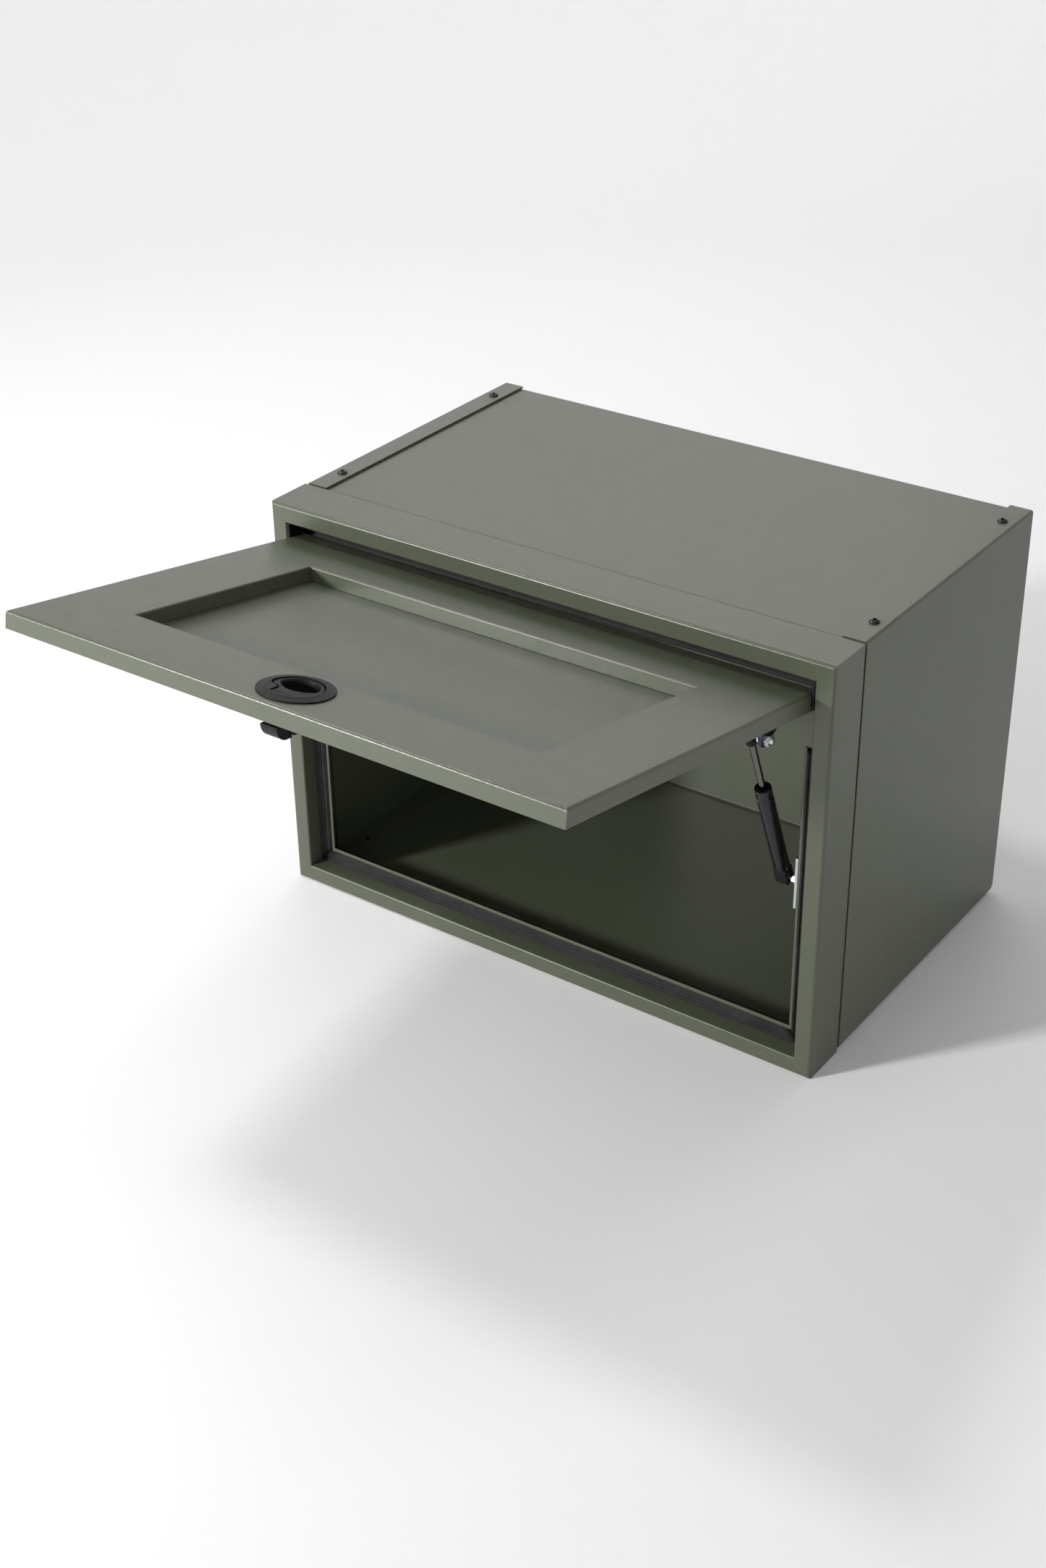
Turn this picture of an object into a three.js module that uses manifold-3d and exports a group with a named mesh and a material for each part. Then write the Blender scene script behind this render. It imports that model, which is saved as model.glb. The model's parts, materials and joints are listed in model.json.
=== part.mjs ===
// A small powder-coated sheet-steel locker box with a lift-up front door.
// Millimetres, +Z up. Origin: centre of the footprint, on the surface the box rests on.
// The front faces -Y. The door is drawn open, as its gas strut holds it.
import * as THREE from 'three';
import { mergeVertices } from 'three/addons/utils/BufferGeometryUtils.js';
import Module from 'manifold-3d';

const wasm = await Module();
wasm.setup();

// ---- driving dimensions ----
const WIDTH = 600;
const DEPTH = 375;
const HEIGHT = 418;
const SHEET = 2; // carcass sheet thickness
const BEND = 2.5; // outside radius of a folded edge
const FIT = 0.3; // assembly gap between touching pieces
const ARC_STEPS = 4; // facets in a quarter turn

// front frame
const FRAME_DEPTH = 52.5;
const FACE_SIDE = 17.5; // face width at the left and right
const FACE_END = 18; // face width at the top and bottom
const FRAME_EDGE = 3.5; // outer front edge radius
const MOUTH_EDGE = 1.8; // inner front edge radius
const MOUTH_RETURN = 19; // depth of the surface just inside the mouth
const FRAME_TURN = 12; // width of the rear turned-in flange

// carcass panels
const PANEL_STEP = 2.3; // how far the top panel lies below the frame's top
const PANEL_START = FRAME_DEPTH + 0.6;
const SIDE_START = FRAME_DEPTH + 1.5; // leaves a shadow groove beside the frame
const SIDE_LIFT = 2.3; // side panel's lower edge above the floor
const STRIP_WIDTH = 23; // side panel's top flange
const FOOT_FLANGE = 30; // side panel's bottom flange
const REAR_FLANGE = 18;
const REAR_CORNER = 9; // rounded lower rear corner of the side panels
const PAN_TURN = 12;
const BACK_INSET = 4.3;

// door stop strips and their rubber seals
const STOP_FRONT = MOUTH_RETURN + FIT;
const STOP_REACH = 16.5; // how far a strip stands into the mouth
const STOP_FOOT = 26;
const SIDE_STOP_TOP = 325;
const TOP_STOP_FRONT = 24.5;
const TOP_STOP_EDGE = 380;
const SEAL_WIDTH = 13;
const SEAL_THICK = 2.5;
const SEAL_BASE = 1.1;
const SEAL_RIBS = 3;

// door, drawn closed and then swung open about its hinge
const DOOR_THICK = 16;
const DOOR_SKIN = 1.5;
const DOOR_GAP_SIDE = 3.5;
const DOOR_BOTTOM = 22.5;
const DOOR_TOP = 395.5;
const DOOR_EDGE = 3;
const RECESS_HALF = 204.6;
const RECESS_BOTTOM = 97;
const RECESS_TOP = 319.3;
const RECESS_EDGE = 1.8;
const RECESS_DEPTH = 14;
const HINGE_Y = 4;
const HINGE_Z = 382.5;
const OPEN_ANGLE = 100.73; // degrees from closed to open

// hinge hardware
const HINGE_PIN_R = 2;
const HINGE_HOLE_R = 2.3;

// gas strut, in the vertical plane STRUT_X; tops and bottoms are ball centres with the door open
const STRUT_X = 243;
const STRUT_FOOT = { y: 38, z: 178.5 };
const STRUT_HEAD = { y: -34.5, z: 355.2 };
const BALL_R = 4;
const SOCKET_R = 6;
const TUBE_R = 7.5;
const TUBE_BORE = 6.3;
const TUBE_START = 13.5;
const TUBE_END = 122;
const ROD_R = 3;
const ROD_START = 75; // where the rod leaves the piston
const PISTON_LENGTH = 9;
const STUD_R = 3; // threaded part of a ball stud
const LOWER_PLATE_X = 256.5;
const LOWER_PLATE = 3;
const UPPER_PLATE_X = 255.5;
const UPPER_PLATE = 2.5;

// slam latch, in its own frame: y towards the hinge, z out of the door's face
const LATCH_Z = 60.5; // latch centre above the floor with the door closed
const BEZEL_R = 31.5;
const BEZEL_RISE = 2.8;
const DIAL_R = 23.5;
const BARREL_R = 24.5;
const BARREL_DEPTH = 19.5;
const RING_R = 22;
const RING_Y = 0.5; // centre of the pull ring's round end
const RING_TOP = 2.2;
const RING_BOTTOM = -2.4;
const RING_GAP = 0.9;
const STEM_HALF = 9.3;
const FLARE = { start: -11, near: -5, far: -8 }; // where the stem's sides curve out to the ring
const PULL_PIN = { y: -16.6, z: -0.8, r: 1 };
const PIN_HALF = 13;
const SPRING_R = 2;
const SPRING_WIRE_R = 0.35;
const SPRING_ROOM = 2.8; // radius of the pocket that the return spring sits in
const KNUCKLE_R = 3; // the pull's barrel about its pin
const FINGER_R = 17;
const FINGER_Y = 3; // centre of the finger hole's round side
const FINGER_PEAK = -6.5;
const WELL_FLOOR = -14;
const BOLT_HALF = 9.5;
const BOLT_TOP = -21.8;
const BOLT_TIP = -30.5;
const TAIL = { half: 3, tip: BOLT_TOP - 2.4 }; // the lever below the pull that drives the bolt

// ---- finishes ----
function finish(color, roughness, metalness) {
  return new THREE.MeshStandardMaterial({ color, roughness, metalness });
}
const olivePaint = finish(0x6e7264, 0.55, 0.1);
const blackRubber = finish(0x1f1e1f, 0.75, 0);
const blackPlastic = finish(0x2b2b2d, 0.5, 0);
const blackSteel = finish(0x18181a, 0.4, 0.6);
const zincSteel = finish(0xc9ced3, 0.35, 0.9);
const darkZinc = finish(0x3b4453, 0.35, 0.8);
const brightSteel = finish(0xb5b8ba, 0.25, 1);

// ---- solids ----
function toSolid(geometry) {
  const bare = geometry.clone();
  bare.deleteAttribute('normal');
  bare.deleteAttribute('uv');
  const merged = mergeVertices(bare, 1e-4);
  return new wasm.Manifold(new wasm.Mesh({
    numProp: 3,
    vertProperties: new Float32Array(merged.attributes.position.array),
    triVerts: new Uint32Array(merged.index.array),
  }));
}

function toGeometry(solid) {
  const { vertProperties, triVerts } = solid.getMesh();
  const geometry = new THREE.BufferGeometry();
  geometry.setAttribute('position', new THREE.BufferAttribute(vertProperties, 3));
  geometry.setIndex(new THREE.BufferAttribute(triVerts, 1));
  geometry.computeVertexNormals();
  return geometry;
}

function cut(geometry, ...cutters) {
  return toGeometry([geometry, ...cutters].map(toSolid).reduce((rest, cutter) => rest.subtract(cutter)));
}

function join(...pieces) {
  return toGeometry(pieces.map(toSolid).reduce((whole, solid) => whole.add(solid)));
}

// ---- shapes ----
function box(x0, x1, y0, y1, z0, z1) {
  const geometry = new THREE.BoxGeometry(x1 - x0, y1 - y0, z1 - z0);
  return geometry.translate((x0 + x1) / 2, (y0 + y1) / 2, (z0 + z1) / 2);
}

const AXES = {
  x: new THREE.Matrix4().makeBasis(
    new THREE.Vector3(0, 1, 0), new THREE.Vector3(0, 0, 1), new THREE.Vector3(1, 0, 0)),
  y: new THREE.Matrix4().makeBasis(
    new THREE.Vector3(1, 0, 0), new THREE.Vector3(0, 0, 1), new THREE.Vector3(0, -1, 0)),
  z: new THREE.Matrix4(),
};

// Extrudes an outline along x (outline in y, z), y (outline in x, z) or z (outline in x, y).
function prism(outline, axis, start, end) {
  const shape = outline instanceof THREE.Shape ? outline : new THREE.Shape(outline);
  const depth = end - start;
  const geometry = new THREE.ExtrudeGeometry(shape, { depth, bevelEnabled: false, curveSegments: 8 });
  geometry.translate(0, 0, axis === 'y' ? -end : start);
  return geometry.applyMatrix4(AXES[axis]);
}

function points(...pairs) {
  return pairs.map(([a, b]) => new THREE.Vector2(a, b));
}

// A round bar or hole along x.
function roundBar(x0, x1, y, z, radius, segments = 16) {
  const geometry = new THREE.CylinderGeometry(radius, radius, x1 - x0, segments);
  return geometry.rotateZ(Math.PI / 2).translate((x0 + x1) / 2, y, z);
}

// A turned piece about the z axis: profile points are [radius, height] from the bottom up.
function turned(profile, segments = 20) {
  return new THREE.LatheGeometry(points(...profile), segments).rotateX(Math.PI / 2).rotateZ(Math.PI);
}

// The outline of folded sheet: its outer face follows the path, and its material lies to the left.
function foldedSheet(path, sheet = SHEET, bend = BEND) {
  const outer = [];
  const inner = [];
  const corners = points(...path);
  const leftOf = (from, to) => {
    const way = to.clone().sub(from).normalize();
    return new THREE.Vector2(-way.y, way.x);
  };
  corners.forEach((corner, i) => {
    if (i === 0 || i === corners.length - 1) {
      const left = i === 0 ? leftOf(corner, corners[1]) : leftOf(corners[i - 1], corner);
      outer.push(corner);
      inner.push(corner.clone().addScaledVector(left, sheet));
      return;
    }
    const before = leftOf(corners[i - 1], corner);
    const after = leftOf(corner, corners[i + 1]);
    const centre = corner.clone().addScaledVector(before, bend).addScaledVector(after, bend);
    for (let step = 0; step <= ARC_STEPS; step += 1) {
      const turn = (step / ARC_STEPS) * Math.PI / 2;
      const way = before.clone().multiplyScalar(-Math.cos(turn)).addScaledVector(after, -Math.sin(turn));
      outer.push(centre.clone().addScaledVector(way, bend));
      inner.push(centre.clone().addScaledVector(way, bend - sheet));
    }
  });
  return [...outer, ...inner.reverse()];
}

// A mitred frame in the x-z plane. Each profile point is [rectangle, inset, depth]; a rectangle is
// { x, low, high }, half its width and its lower and upper edge. Profiles run clockwise: outer side
// forwards, across the face, and back inside the sheet.
function mitredFrame(profile) {
  const corners = [[-1, 'low', 1], [1, 'low', 1], [1, 'high', -1], [-1, 'high', -1]];
  const position = [];
  corners.forEach(([side, edge, inward]) => {
    profile.forEach(([rectangle, inset, depth]) => {
      position.push(side * (rectangle.x - inset), depth, rectangle[edge] + inward * inset);
    });
  });
  const index = [];
  const count = profile.length;
  for (let corner = 0; corner < corners.length; corner += 1) {
    const here = corner * count;
    const there = ((corner + 1) % corners.length) * count;
    for (let i = 0; i < count; i += 1) {
      const next = (i + 1) % count;
      index.push(here + i, there + i, here + next, there + i, there + next, here + next);
    }
  }
  const geometry = new THREE.BufferGeometry();
  geometry.setAttribute('position', new THREE.Float32BufferAttribute(position, 3));
  geometry.setIndex(index);
  geometry.computeVertexNormals();
  return geometry;
}

// A quarter-round run of frame profile points about [inset, depth], from one direction to the next.
function roundRun(rectangle, inset, depth, radius, fromDegrees, toDegrees) {
  const run = [];
  for (let step = 0; step <= ARC_STEPS; step += 1) {
    const angle = THREE.MathUtils.degToRad(fromDegrees + (toDegrees - fromDegrees) * step / ARC_STEPS);
    run.push([rectangle, inset + radius * Math.cos(angle), depth + radius * Math.sin(angle)]);
  }
  return run;
}

const cabinet = new THREE.Group();
cabinet.position.y = -DEPTH / 2; // inside the cabinet, y is measured back from the front plane

function add(parent, name, geometry, material) {
  const mesh = new THREE.Mesh(geometry, material);
  mesh.name = name;
  parent.add(mesh);
  return mesh;
}

// ---- front frame ----
function frontFrame() {
  const outside = { x: WIDTH / 2, low: 0, high: HEIGHT };
  const mouth = { x: WIDTH / 2 - FACE_SIDE, low: FACE_END, high: HEIGHT - FACE_END };
  const profile = [
    ...roundRun(outside, BEND, FRAME_DEPTH - BEND, BEND, 90, 180),
    ...roundRun(outside, FRAME_EDGE, FRAME_EDGE, FRAME_EDGE, 180, 270),
    ...roundRun(mouth, -MOUTH_EDGE, MOUTH_EDGE, MOUTH_EDGE, -90, 0),
    [mouth, 0, MOUTH_RETURN],
    [mouth, -SHEET, MOUTH_RETURN],
    [mouth, -SHEET, SHEET],
    [outside, FRAME_EDGE, SHEET],
    [outside, SHEET, FRAME_EDGE],
    [outside, SHEET, FRAME_DEPTH - BEND],
    [outside, BEND, FRAME_DEPTH - SHEET],
    [outside, FRAME_TURN, FRAME_DEPTH - SHEET],
    [outside, FRAME_TURN, FRAME_DEPTH],
  ];
  const pinHoles = [-1, 1].map((side) => {
    const near = side * (mouth.x - 1);
    const far = side * (mouth.x + SHEET + 1);
    return roundBar(Math.min(near, far), Math.max(near, far), HINGE_Y, HINGE_Z, HINGE_HOLE_R);
  });
  return cut(mitredFrame(profile), ...pinHoles);
}
add(cabinet, 'front_frame', frontFrame(), olivePaint);

// ---- side, top, bottom and back panels ----
const SCREW_X = WIDTH / 2 - 13;
const SCREW_SPOTS = { front: 90.5, rear: 337 };
const SCREW_HOLE_R = 2.8;
const FOOT_SCREW_X = WIDTH / 2 - 18;
const RIVET_X = WIDTH / 2 - 11;
const RIVET_ROWS = { low: 90, high: 330 };
const RIVET_R = 2;
const STUD_SPOTS = { low: 160, high: 196 };
const STUD_Y = 72;
const STUD_LENGTH = 10;
const STUD_SHANK_R = 2.5;

function holeUp(x, y, z0, z1, radius, segments = 16) {
  const geometry = new THREE.CylinderGeometry(radius, radius, z1 - z0, segments);
  return geometry.rotateX(Math.PI / 2).translate(x, y, (z0 + z1) / 2);
}

function holeBack(x, z, y0, y1, radius, segments = 16) {
  return new THREE.CylinderGeometry(radius, radius, y1 - y0, segments).translate(x, (y0 + y1) / 2, z);
}

// A countersunk foot screw, its head flush with the underside; grow widens it into its own hole.
function footScrewShape(grow) {
  const head = 4.2 + grow;
  const shank = 2.4 + grow;
  const low = 0.2 - grow;
  const high = 5.4 + grow;
  return turned([[0, low], [head, low], [shank, 1.9], [shank, high], [0, high]], 16);
}

function sidePanel(side) {
  const face = WIDTH / 2;
  const outline = foldedSheet([
    [face - FOOT_FLANGE, SIDE_LIFT], [face, SIDE_LIFT], [face, HEIGHT], [face - STRIP_WIDTH, HEIGHT],
  ]);
  const rearFlange = box(face - REAR_FLANGE, face - 1, DEPTH - SHEET, DEPTH, 14, HEIGHT - 14);
  const corner = new THREE.Shape();
  corner.moveTo(DEPTH - REAR_CORNER, -1);
  corner.lineTo(DEPTH + 1, -1);
  corner.lineTo(DEPTH + 1, SIDE_LIFT + REAR_CORNER);
  corner.lineTo(DEPTH, SIDE_LIFT + REAR_CORNER);
  corner.absarc(DEPTH - REAR_CORNER, SIDE_LIFT + REAR_CORNER, REAR_CORNER, 0, -Math.PI / 2, true);
  const cutters = [prism(corner, 'x', face - FOOT_FLANGE - 1, face + 1)];
  Object.values(SCREW_SPOTS).forEach((y) => {
    cutters.push(holeUp(SCREW_X, y, HEIGHT - 5, HEIGHT + 1, SCREW_HOLE_R));
    cutters.push(footScrewShape(FIT).translate(FOOT_SCREW_X, y, 0));
  });
  Object.values(RIVET_ROWS).forEach((z) => {
    cutters.push(holeBack(RIVET_X, z, DEPTH - 3, DEPTH + 1, RIVET_R + FIT));
  });
  const bodies = [prism(outline, 'y', SIDE_START, DEPTH), rearFlange];
  if (side > 0) {
    Object.values(STUD_SPOTS).forEach((z) => {
      bodies.push(roundBar(face - SHEET - STUD_LENGTH, face - 1, STUD_Y, z, STUD_SHANK_R));
    });
  }
  const panel = cut(join(...bodies), ...cutters);
  return side > 0 ? panel : mirrored(panel);
}

// Mirrors a geometry across the cabinet's centre plane.
function mirrored(geometry) {
  const copy = geometry.clone().scale(-1, 1, 1);
  const order = copy.index.array;
  for (let i = 0; i < order.length; i += 3) {
    [order[i], order[i + 1]] = [order[i + 1], order[i]];
  }
  copy.computeVertexNormals();
  return copy;
}
add(cabinet, 'left_side_panel', sidePanel(-1), olivePaint);
add(cabinet, 'right_side_panel', sidePanel(1), olivePaint);

function everyScrewSpot(action) {
  [-1, 1].forEach((side) => {
    Object.entries(SCREW_SPOTS).forEach(([row, y]) => action(side, row, y));
  });
}

function topPanel() {
  const top = HEIGHT - PANEL_STEP;
  const half = WIDTH / 2 - SHEET - FIT;
  const outline = foldedSheet([
    [DEPTH, top - PAN_TURN + 1], [DEPTH, top], [PANEL_START, top], [PANEL_START, top - PAN_TURN],
  ]);
  const holes = [];
  everyScrewSpot((side, row, y) => {
    holes.push(holeUp(side * SCREW_X, y, top - 5, top + 1, SCREW_HOLE_R));
  });
  return cut(prism(outline, 'x', -half, half), ...holes);
}
add(cabinet, 'top_panel', topPanel(), olivePaint);

function bottomPanel() {
  const half = WIDTH / 2 - 10;
  const clear = WIDTH / 2 - FOOT_FLANGE - 0.5;
  const outline = foldedSheet([
    [PANEL_START, PAN_TURN], [PANEL_START, 0], [DEPTH, 0], [DEPTH, PAN_TURN],
  ]);
  const cutters = [];
  [-1, 1].forEach((side) => {
    const near = Math.min(side * clear, side * WIDTH / 2);
    const far = Math.max(side * clear, side * WIDTH / 2);
    cutters.push(box(near, far, PANEL_START - 1, DEPTH + 1, SHEET, PAN_TURN + 1));
  });
  everyScrewSpot((side, row, y) => {
    cutters.push(footScrewShape(FIT).translate(side * FOOT_SCREW_X, y, 0));
  });
  return cut(prism(outline, 'x', -half, half), ...cutters);
}
add(cabinet, 'bottom_panel', bottomPanel(), olivePaint);

const ANCHOR_X = 200;
const ANCHOR_ROWS = [110, 310];
const ANCHOR_R = 4.5;
function backPanel() {
  const half = WIDTH / 2 - SHEET - FIT;
  const plate = box(-half, half, DEPTH - BACK_INSET, DEPTH - BACK_INSET + SHEET,
    SIDE_LIFT + SHEET + FIT, HEIGHT - PANEL_STEP - SHEET - FIT);
  const holes = [];
  [-1, 1].forEach((side) => {
    Object.values(RIVET_ROWS).forEach((z) => {
      holes.push(holeBack(side * RIVET_X, z, DEPTH - 6, DEPTH, RIVET_R + FIT));
    });
    ANCHOR_ROWS.forEach((z) => {
      holes.push(holeBack(side * ANCHOR_X, z, DEPTH - 6, DEPTH, ANCHOR_R));
    });
  });
  return cut(plate, ...holes);
}
add(cabinet, 'back_panel', backPanel(), olivePaint);

// ---- panel fasteners ----
const HEAD_R = 4.75;
const HEAD_H = 2.75;
const HEX_SOCKET_R = 1.75;
function buttonScrew() {
  const screw = turned([
    [0, -6.4], [2.4, -6.4], [2.4, FIT], [HEAD_R, FIT], [HEAD_R, 0.9],
    [4.2, 1.9], [3, 2.55], [1.9, HEAD_H], [0, HEAD_H],
  ]);
  return cut(screw, holeUp(0, 0, HEAD_H - 1.6, HEAD_H + 0.4, HEX_SOCKET_R, 6));
}
function rivet() {
  const profile = [[0, 0.2], [RIVET_R, 0.2], [RIVET_R, 4.9], [4, 4.9], [3.6, 5.9], [2, 6.5], [0, 6.5]];
  return turned(profile, 16).rotateX(Math.PI / 2);
}
const SIDE_NAMES = { '-1': 'left', 1: 'right' };
everyScrewSpot((side, row, y) => {
  const place = `${row}_${SIDE_NAMES[side]}`;
  add(cabinet, `top_screw_${place}`, buttonScrew(), blackSteel).position.set(side * SCREW_X, y, HEIGHT);
  add(cabinet, `bottom_screw_${place}`, footScrewShape(0), blackSteel)
    .position.set(side * FOOT_SCREW_X, y, 0);
});
[-1, 1].forEach((side) => {
  Object.entries(RIVET_ROWS).forEach(([row, z]) => {
    add(cabinet, `back_rivet_${row}_${SIDE_NAMES[side]}`, rivet(), zincSteel)
      .position.set(side * RIVET_X, DEPTH, z);
  });
});

// ---- door stop strips and seals ----
const LINING = SHEET + FIT; // from an outer surface to a strip that lies against its inside
const INSIDE = WIDTH / 2 - LINING;
const STOP_TOP_EDGE = FACE_END + STOP_REACH;
const STOP_REAR = STOP_FRONT + STOP_FOOT;
const TOP_STOP_REAR = 48;
const stopSection = {
  bottom: foldedSheet([[STOP_FRONT, STOP_TOP_EDGE], [STOP_FRONT, LINING], [STOP_REAR, LINING]]),
  side: foldedSheet([
    [WIDTH / 2 - FACE_SIDE - STOP_REACH, STOP_FRONT], [INSIDE, STOP_FRONT], [INSIDE, STOP_REAR],
  ]),
  top: foldedSheet([
    [TOP_STOP_REAR, HEIGHT - LINING], [TOP_STOP_FRONT, HEIGHT - LINING], [TOP_STOP_FRONT, TOP_STOP_EDGE],
  ]),
};
const rightStop = () => prism(stopSection.side, 'z', STOP_TOP_EDGE + FIT, SIDE_STOP_TOP);
const mirroredPlain = (geometry) => mirrored(toGeometry(toSolid(geometry)));
add(cabinet, 'bottom_stop_strip', prism(stopSection.bottom, 'x', -INSIDE, INSIDE), olivePaint);
add(cabinet, 'top_stop_strip', prism(stopSection.top, 'x', -INSIDE, INSIDE), olivePaint);
add(cabinet, 'right_stop_strip', rightStop(), olivePaint);
add(cabinet, 'left_stop_strip', mirroredPlain(rightStop()), olivePaint);

// Seal section: across the width, then up from the base; ribs stand on a thin base.
function sealSection() {
  const section = [[0, 0], [SEAL_WIDTH, 0], [SEAL_WIDTH, SEAL_BASE]];
  const pitch = SEAL_WIDTH / SEAL_RIBS;
  const foot = 1.7; // half widths of a rib
  const crest = 0.9;
  for (let rib = SEAL_RIBS - 1; rib >= 0; rib -= 1) {
    const middle = (rib + 0.5) * pitch;
    section.push([middle + foot, SEAL_BASE], [middle + crest, SEAL_THICK]);
    section.push([middle - crest, SEAL_THICK], [middle - foot, SEAL_BASE]);
  }
  section.push([0, SEAL_BASE]);
  return points(...section);
}

// A seal along z with its width along x and its ribs towards -y; each end may be mitred so that the
// outer edge (x = 0) is longer.
function seal(start, end, mitreStart, mitreEnd) {
  const geometry = prism(sealSection(), 'z', start, end);
  const spots = geometry.attributes.position;
  const middle = (start + end) / 2;
  for (let i = 0; i < spots.count; i += 1) {
    const atStart = spots.getZ(i) < middle;
    if (atStart && mitreStart) {
      spots.setZ(i, spots.getZ(i) + spots.getX(i));
    }
    if (!atStart && mitreEnd) {
      spots.setZ(i, spots.getZ(i) - spots.getX(i));
    }
  }
  return geometry.rotateZ(Math.PI); // width now towards -x, ribs towards -y
}
const MOUTH_X = WIDTH / 2 - FACE_SIDE - 0.5;
const SEAL_LOW = FACE_END + 0.3;
const SEAL_BACK = STOP_FRONT - FIT;
function rightSeal() {
  return seal(SEAL_LOW + 0.5, SIDE_STOP_TOP, true, false).translate(MOUTH_X, SEAL_BACK, 0);
}
add(cabinet, 'right_seal', rightSeal(), blackRubber);
add(cabinet, 'left_seal', mirroredPlain(rightSeal()), blackRubber);
// along x: turn the upright seal so that its outer edge lies lowest
const bottomSeal = seal(-MOUTH_X + 0.1, MOUTH_X - 0.1, true, true).rotateY(Math.PI / 2)
  .translate(0, SEAL_BACK, SEAL_LOW);
add(cabinet, 'bottom_seal', bottomSeal, blackRubber);
const topSeal = seal(-MOUTH_X, MOUTH_X, false, false).rotateY(Math.PI / 2)
  .translate(0, TOP_STOP_FRONT - FIT + 0.2, TOP_STOP_EDGE + 1);
add(cabinet, 'top_seal', topSeal, blackRubber);

// ---- hinge blocks and pins ----
const BLOCK = { front: 0.6, rear: 18.6, low: 372, high: 399.6 };
const MOUTH_HALF = WIDTH / 2 - FACE_SIDE;
function hingeBlock() {
  const inner = MOUTH_HALF - DOOR_GAP_SIDE + 0.4;
  const block = box(inner, MOUTH_HALF - FIT, BLOCK.front, BLOCK.rear, BLOCK.low, BLOCK.high);
  return cut(block, roundBar(inner - 3, MOUTH_HALF + 2, HINGE_Y, HINGE_Z, HINGE_HOLE_R));
}
const CLIP_R = 3.6;
function hingePin() {
  const inner = MOUTH_HALF - DOOR_GAP_SIDE - 9;
  const outer = MOUTH_HALF + SHEET;
  const shank = roundBar(inner, outer + 1.5, HINGE_Y, HINGE_Z, HINGE_PIN_R);
  const clip = roundBar(outer + FIT, outer + 2.2, HINGE_Y + 2.5, HINGE_Z, CLIP_R);
  return join(shank, clip);
}
add(cabinet, 'right_hinge_block', hingeBlock(), blackPlastic);
add(cabinet, 'left_hinge_block', mirrored(hingeBlock()), blackPlastic);
add(cabinet, 'right_hinge_pin', hingePin(), zincSteel);
add(cabinet, 'left_hinge_pin', mirrored(hingePin()), zincSteel);

// ---- strut bracket on the carcass ----
const LOWER_BRACKET = { front: 32, arm: 56, foot: 86, low: 152, high: 204 };
const LOWER_FOOT_X = WIDTH / 2 - SHEET - FIT;
const NUT_THICK = 4;
const hexNut = (radius, thick, bore) => cut(
  new THREE.CylinderGeometry(radius, radius, thick, 6).rotateZ(Math.PI / 2),
  new THREE.CylinderGeometry(bore, bore, thick + 2, 16).rotateZ(Math.PI / 2),
);
function lowerBracket() {
  const { front, arm, foot, low, high } = LOWER_BRACKET;
  const bracket = join(
    box(LOWER_PLATE_X, LOWER_PLATE_X + LOWER_PLATE, front, arm, low, high),
    box(LOWER_PLATE_X, LOWER_FOOT_X, arm - LOWER_PLATE, arm, low, high),
    box(LOWER_FOOT_X - LOWER_PLATE, LOWER_FOOT_X, arm - LOWER_PLATE, foot, low, high),
  );
  const holes = Object.values(STUD_SPOTS).map((z) => (
    roundBar(LOWER_FOOT_X - 5, LOWER_FOOT_X + 1, STUD_Y, z, STUD_SHANK_R + FIT)
  ));
  holes.push(roundBar(LOWER_PLATE_X - 1, LOWER_PLATE_X + 5, STRUT_FOOT.y, STRUT_FOOT.z, STUD_R + FIT));
  return cut(bracket, ...holes);
}
add(cabinet, 'strut_lower_bracket', lowerBracket(), zincSteel);
Object.entries(STUD_SPOTS).forEach(([row, z]) => {
  add(cabinet, `lower_bracket_nut_${row}`, hexNut(4.6, NUT_THICK, STUD_SHANK_R + FIT), zincSteel)
    .position.set(LOWER_FOOT_X - LOWER_PLATE - FIT - NUT_THICK / 2, STUD_Y, z);
});

// A ball on a stud that runs along +x from the ball's centre; collar is where its hexagon starts.
function ballStud(length, collar, collarEnd) {
  return join(
    new THREE.SphereGeometry(BALL_R, 16, 10),
    roundBar(0, collar + 1, 0, 0, 2.2),
    roundBar(collar, collarEnd, 0, 0, 5, 6),
    roundBar(collar, length, 0, 0, STUD_R),
  );
}
const lowerStud = ballStud(LOWER_PLATE_X - STRUT_X + 10, 9.6, LOWER_PLATE_X - STRUT_X - FIT);
add(cabinet, 'strut_lower_ball_stud', lowerStud, zincSteel)
  .position.set(STRUT_X, STRUT_FOOT.y, STRUT_FOOT.z);
add(cabinet, 'lower_ball_nut', hexNut(5.6, 4.5, STUD_R + FIT), zincSteel)
  .position.set(LOWER_PLATE_X + LOWER_PLATE + FIT + 2.25, STRUT_FOOT.y, STRUT_FOOT.z);

// ---- gas strut: its own frame has the foot ball at the origin and z along the strut ----
const strutReach = Math.hypot(STRUT_HEAD.y - STRUT_FOOT.y, STRUT_HEAD.z - STRUT_FOOT.z);
const strut = new THREE.Group();
strut.position.set(STRUT_X, STRUT_FOOT.y, STRUT_FOOT.z);
strut.rotation.x = Math.atan2(STRUT_FOOT.y - STRUT_HEAD.y, STRUT_HEAD.z - STRUT_FOOT.z);
cabinet.add(strut);

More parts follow.
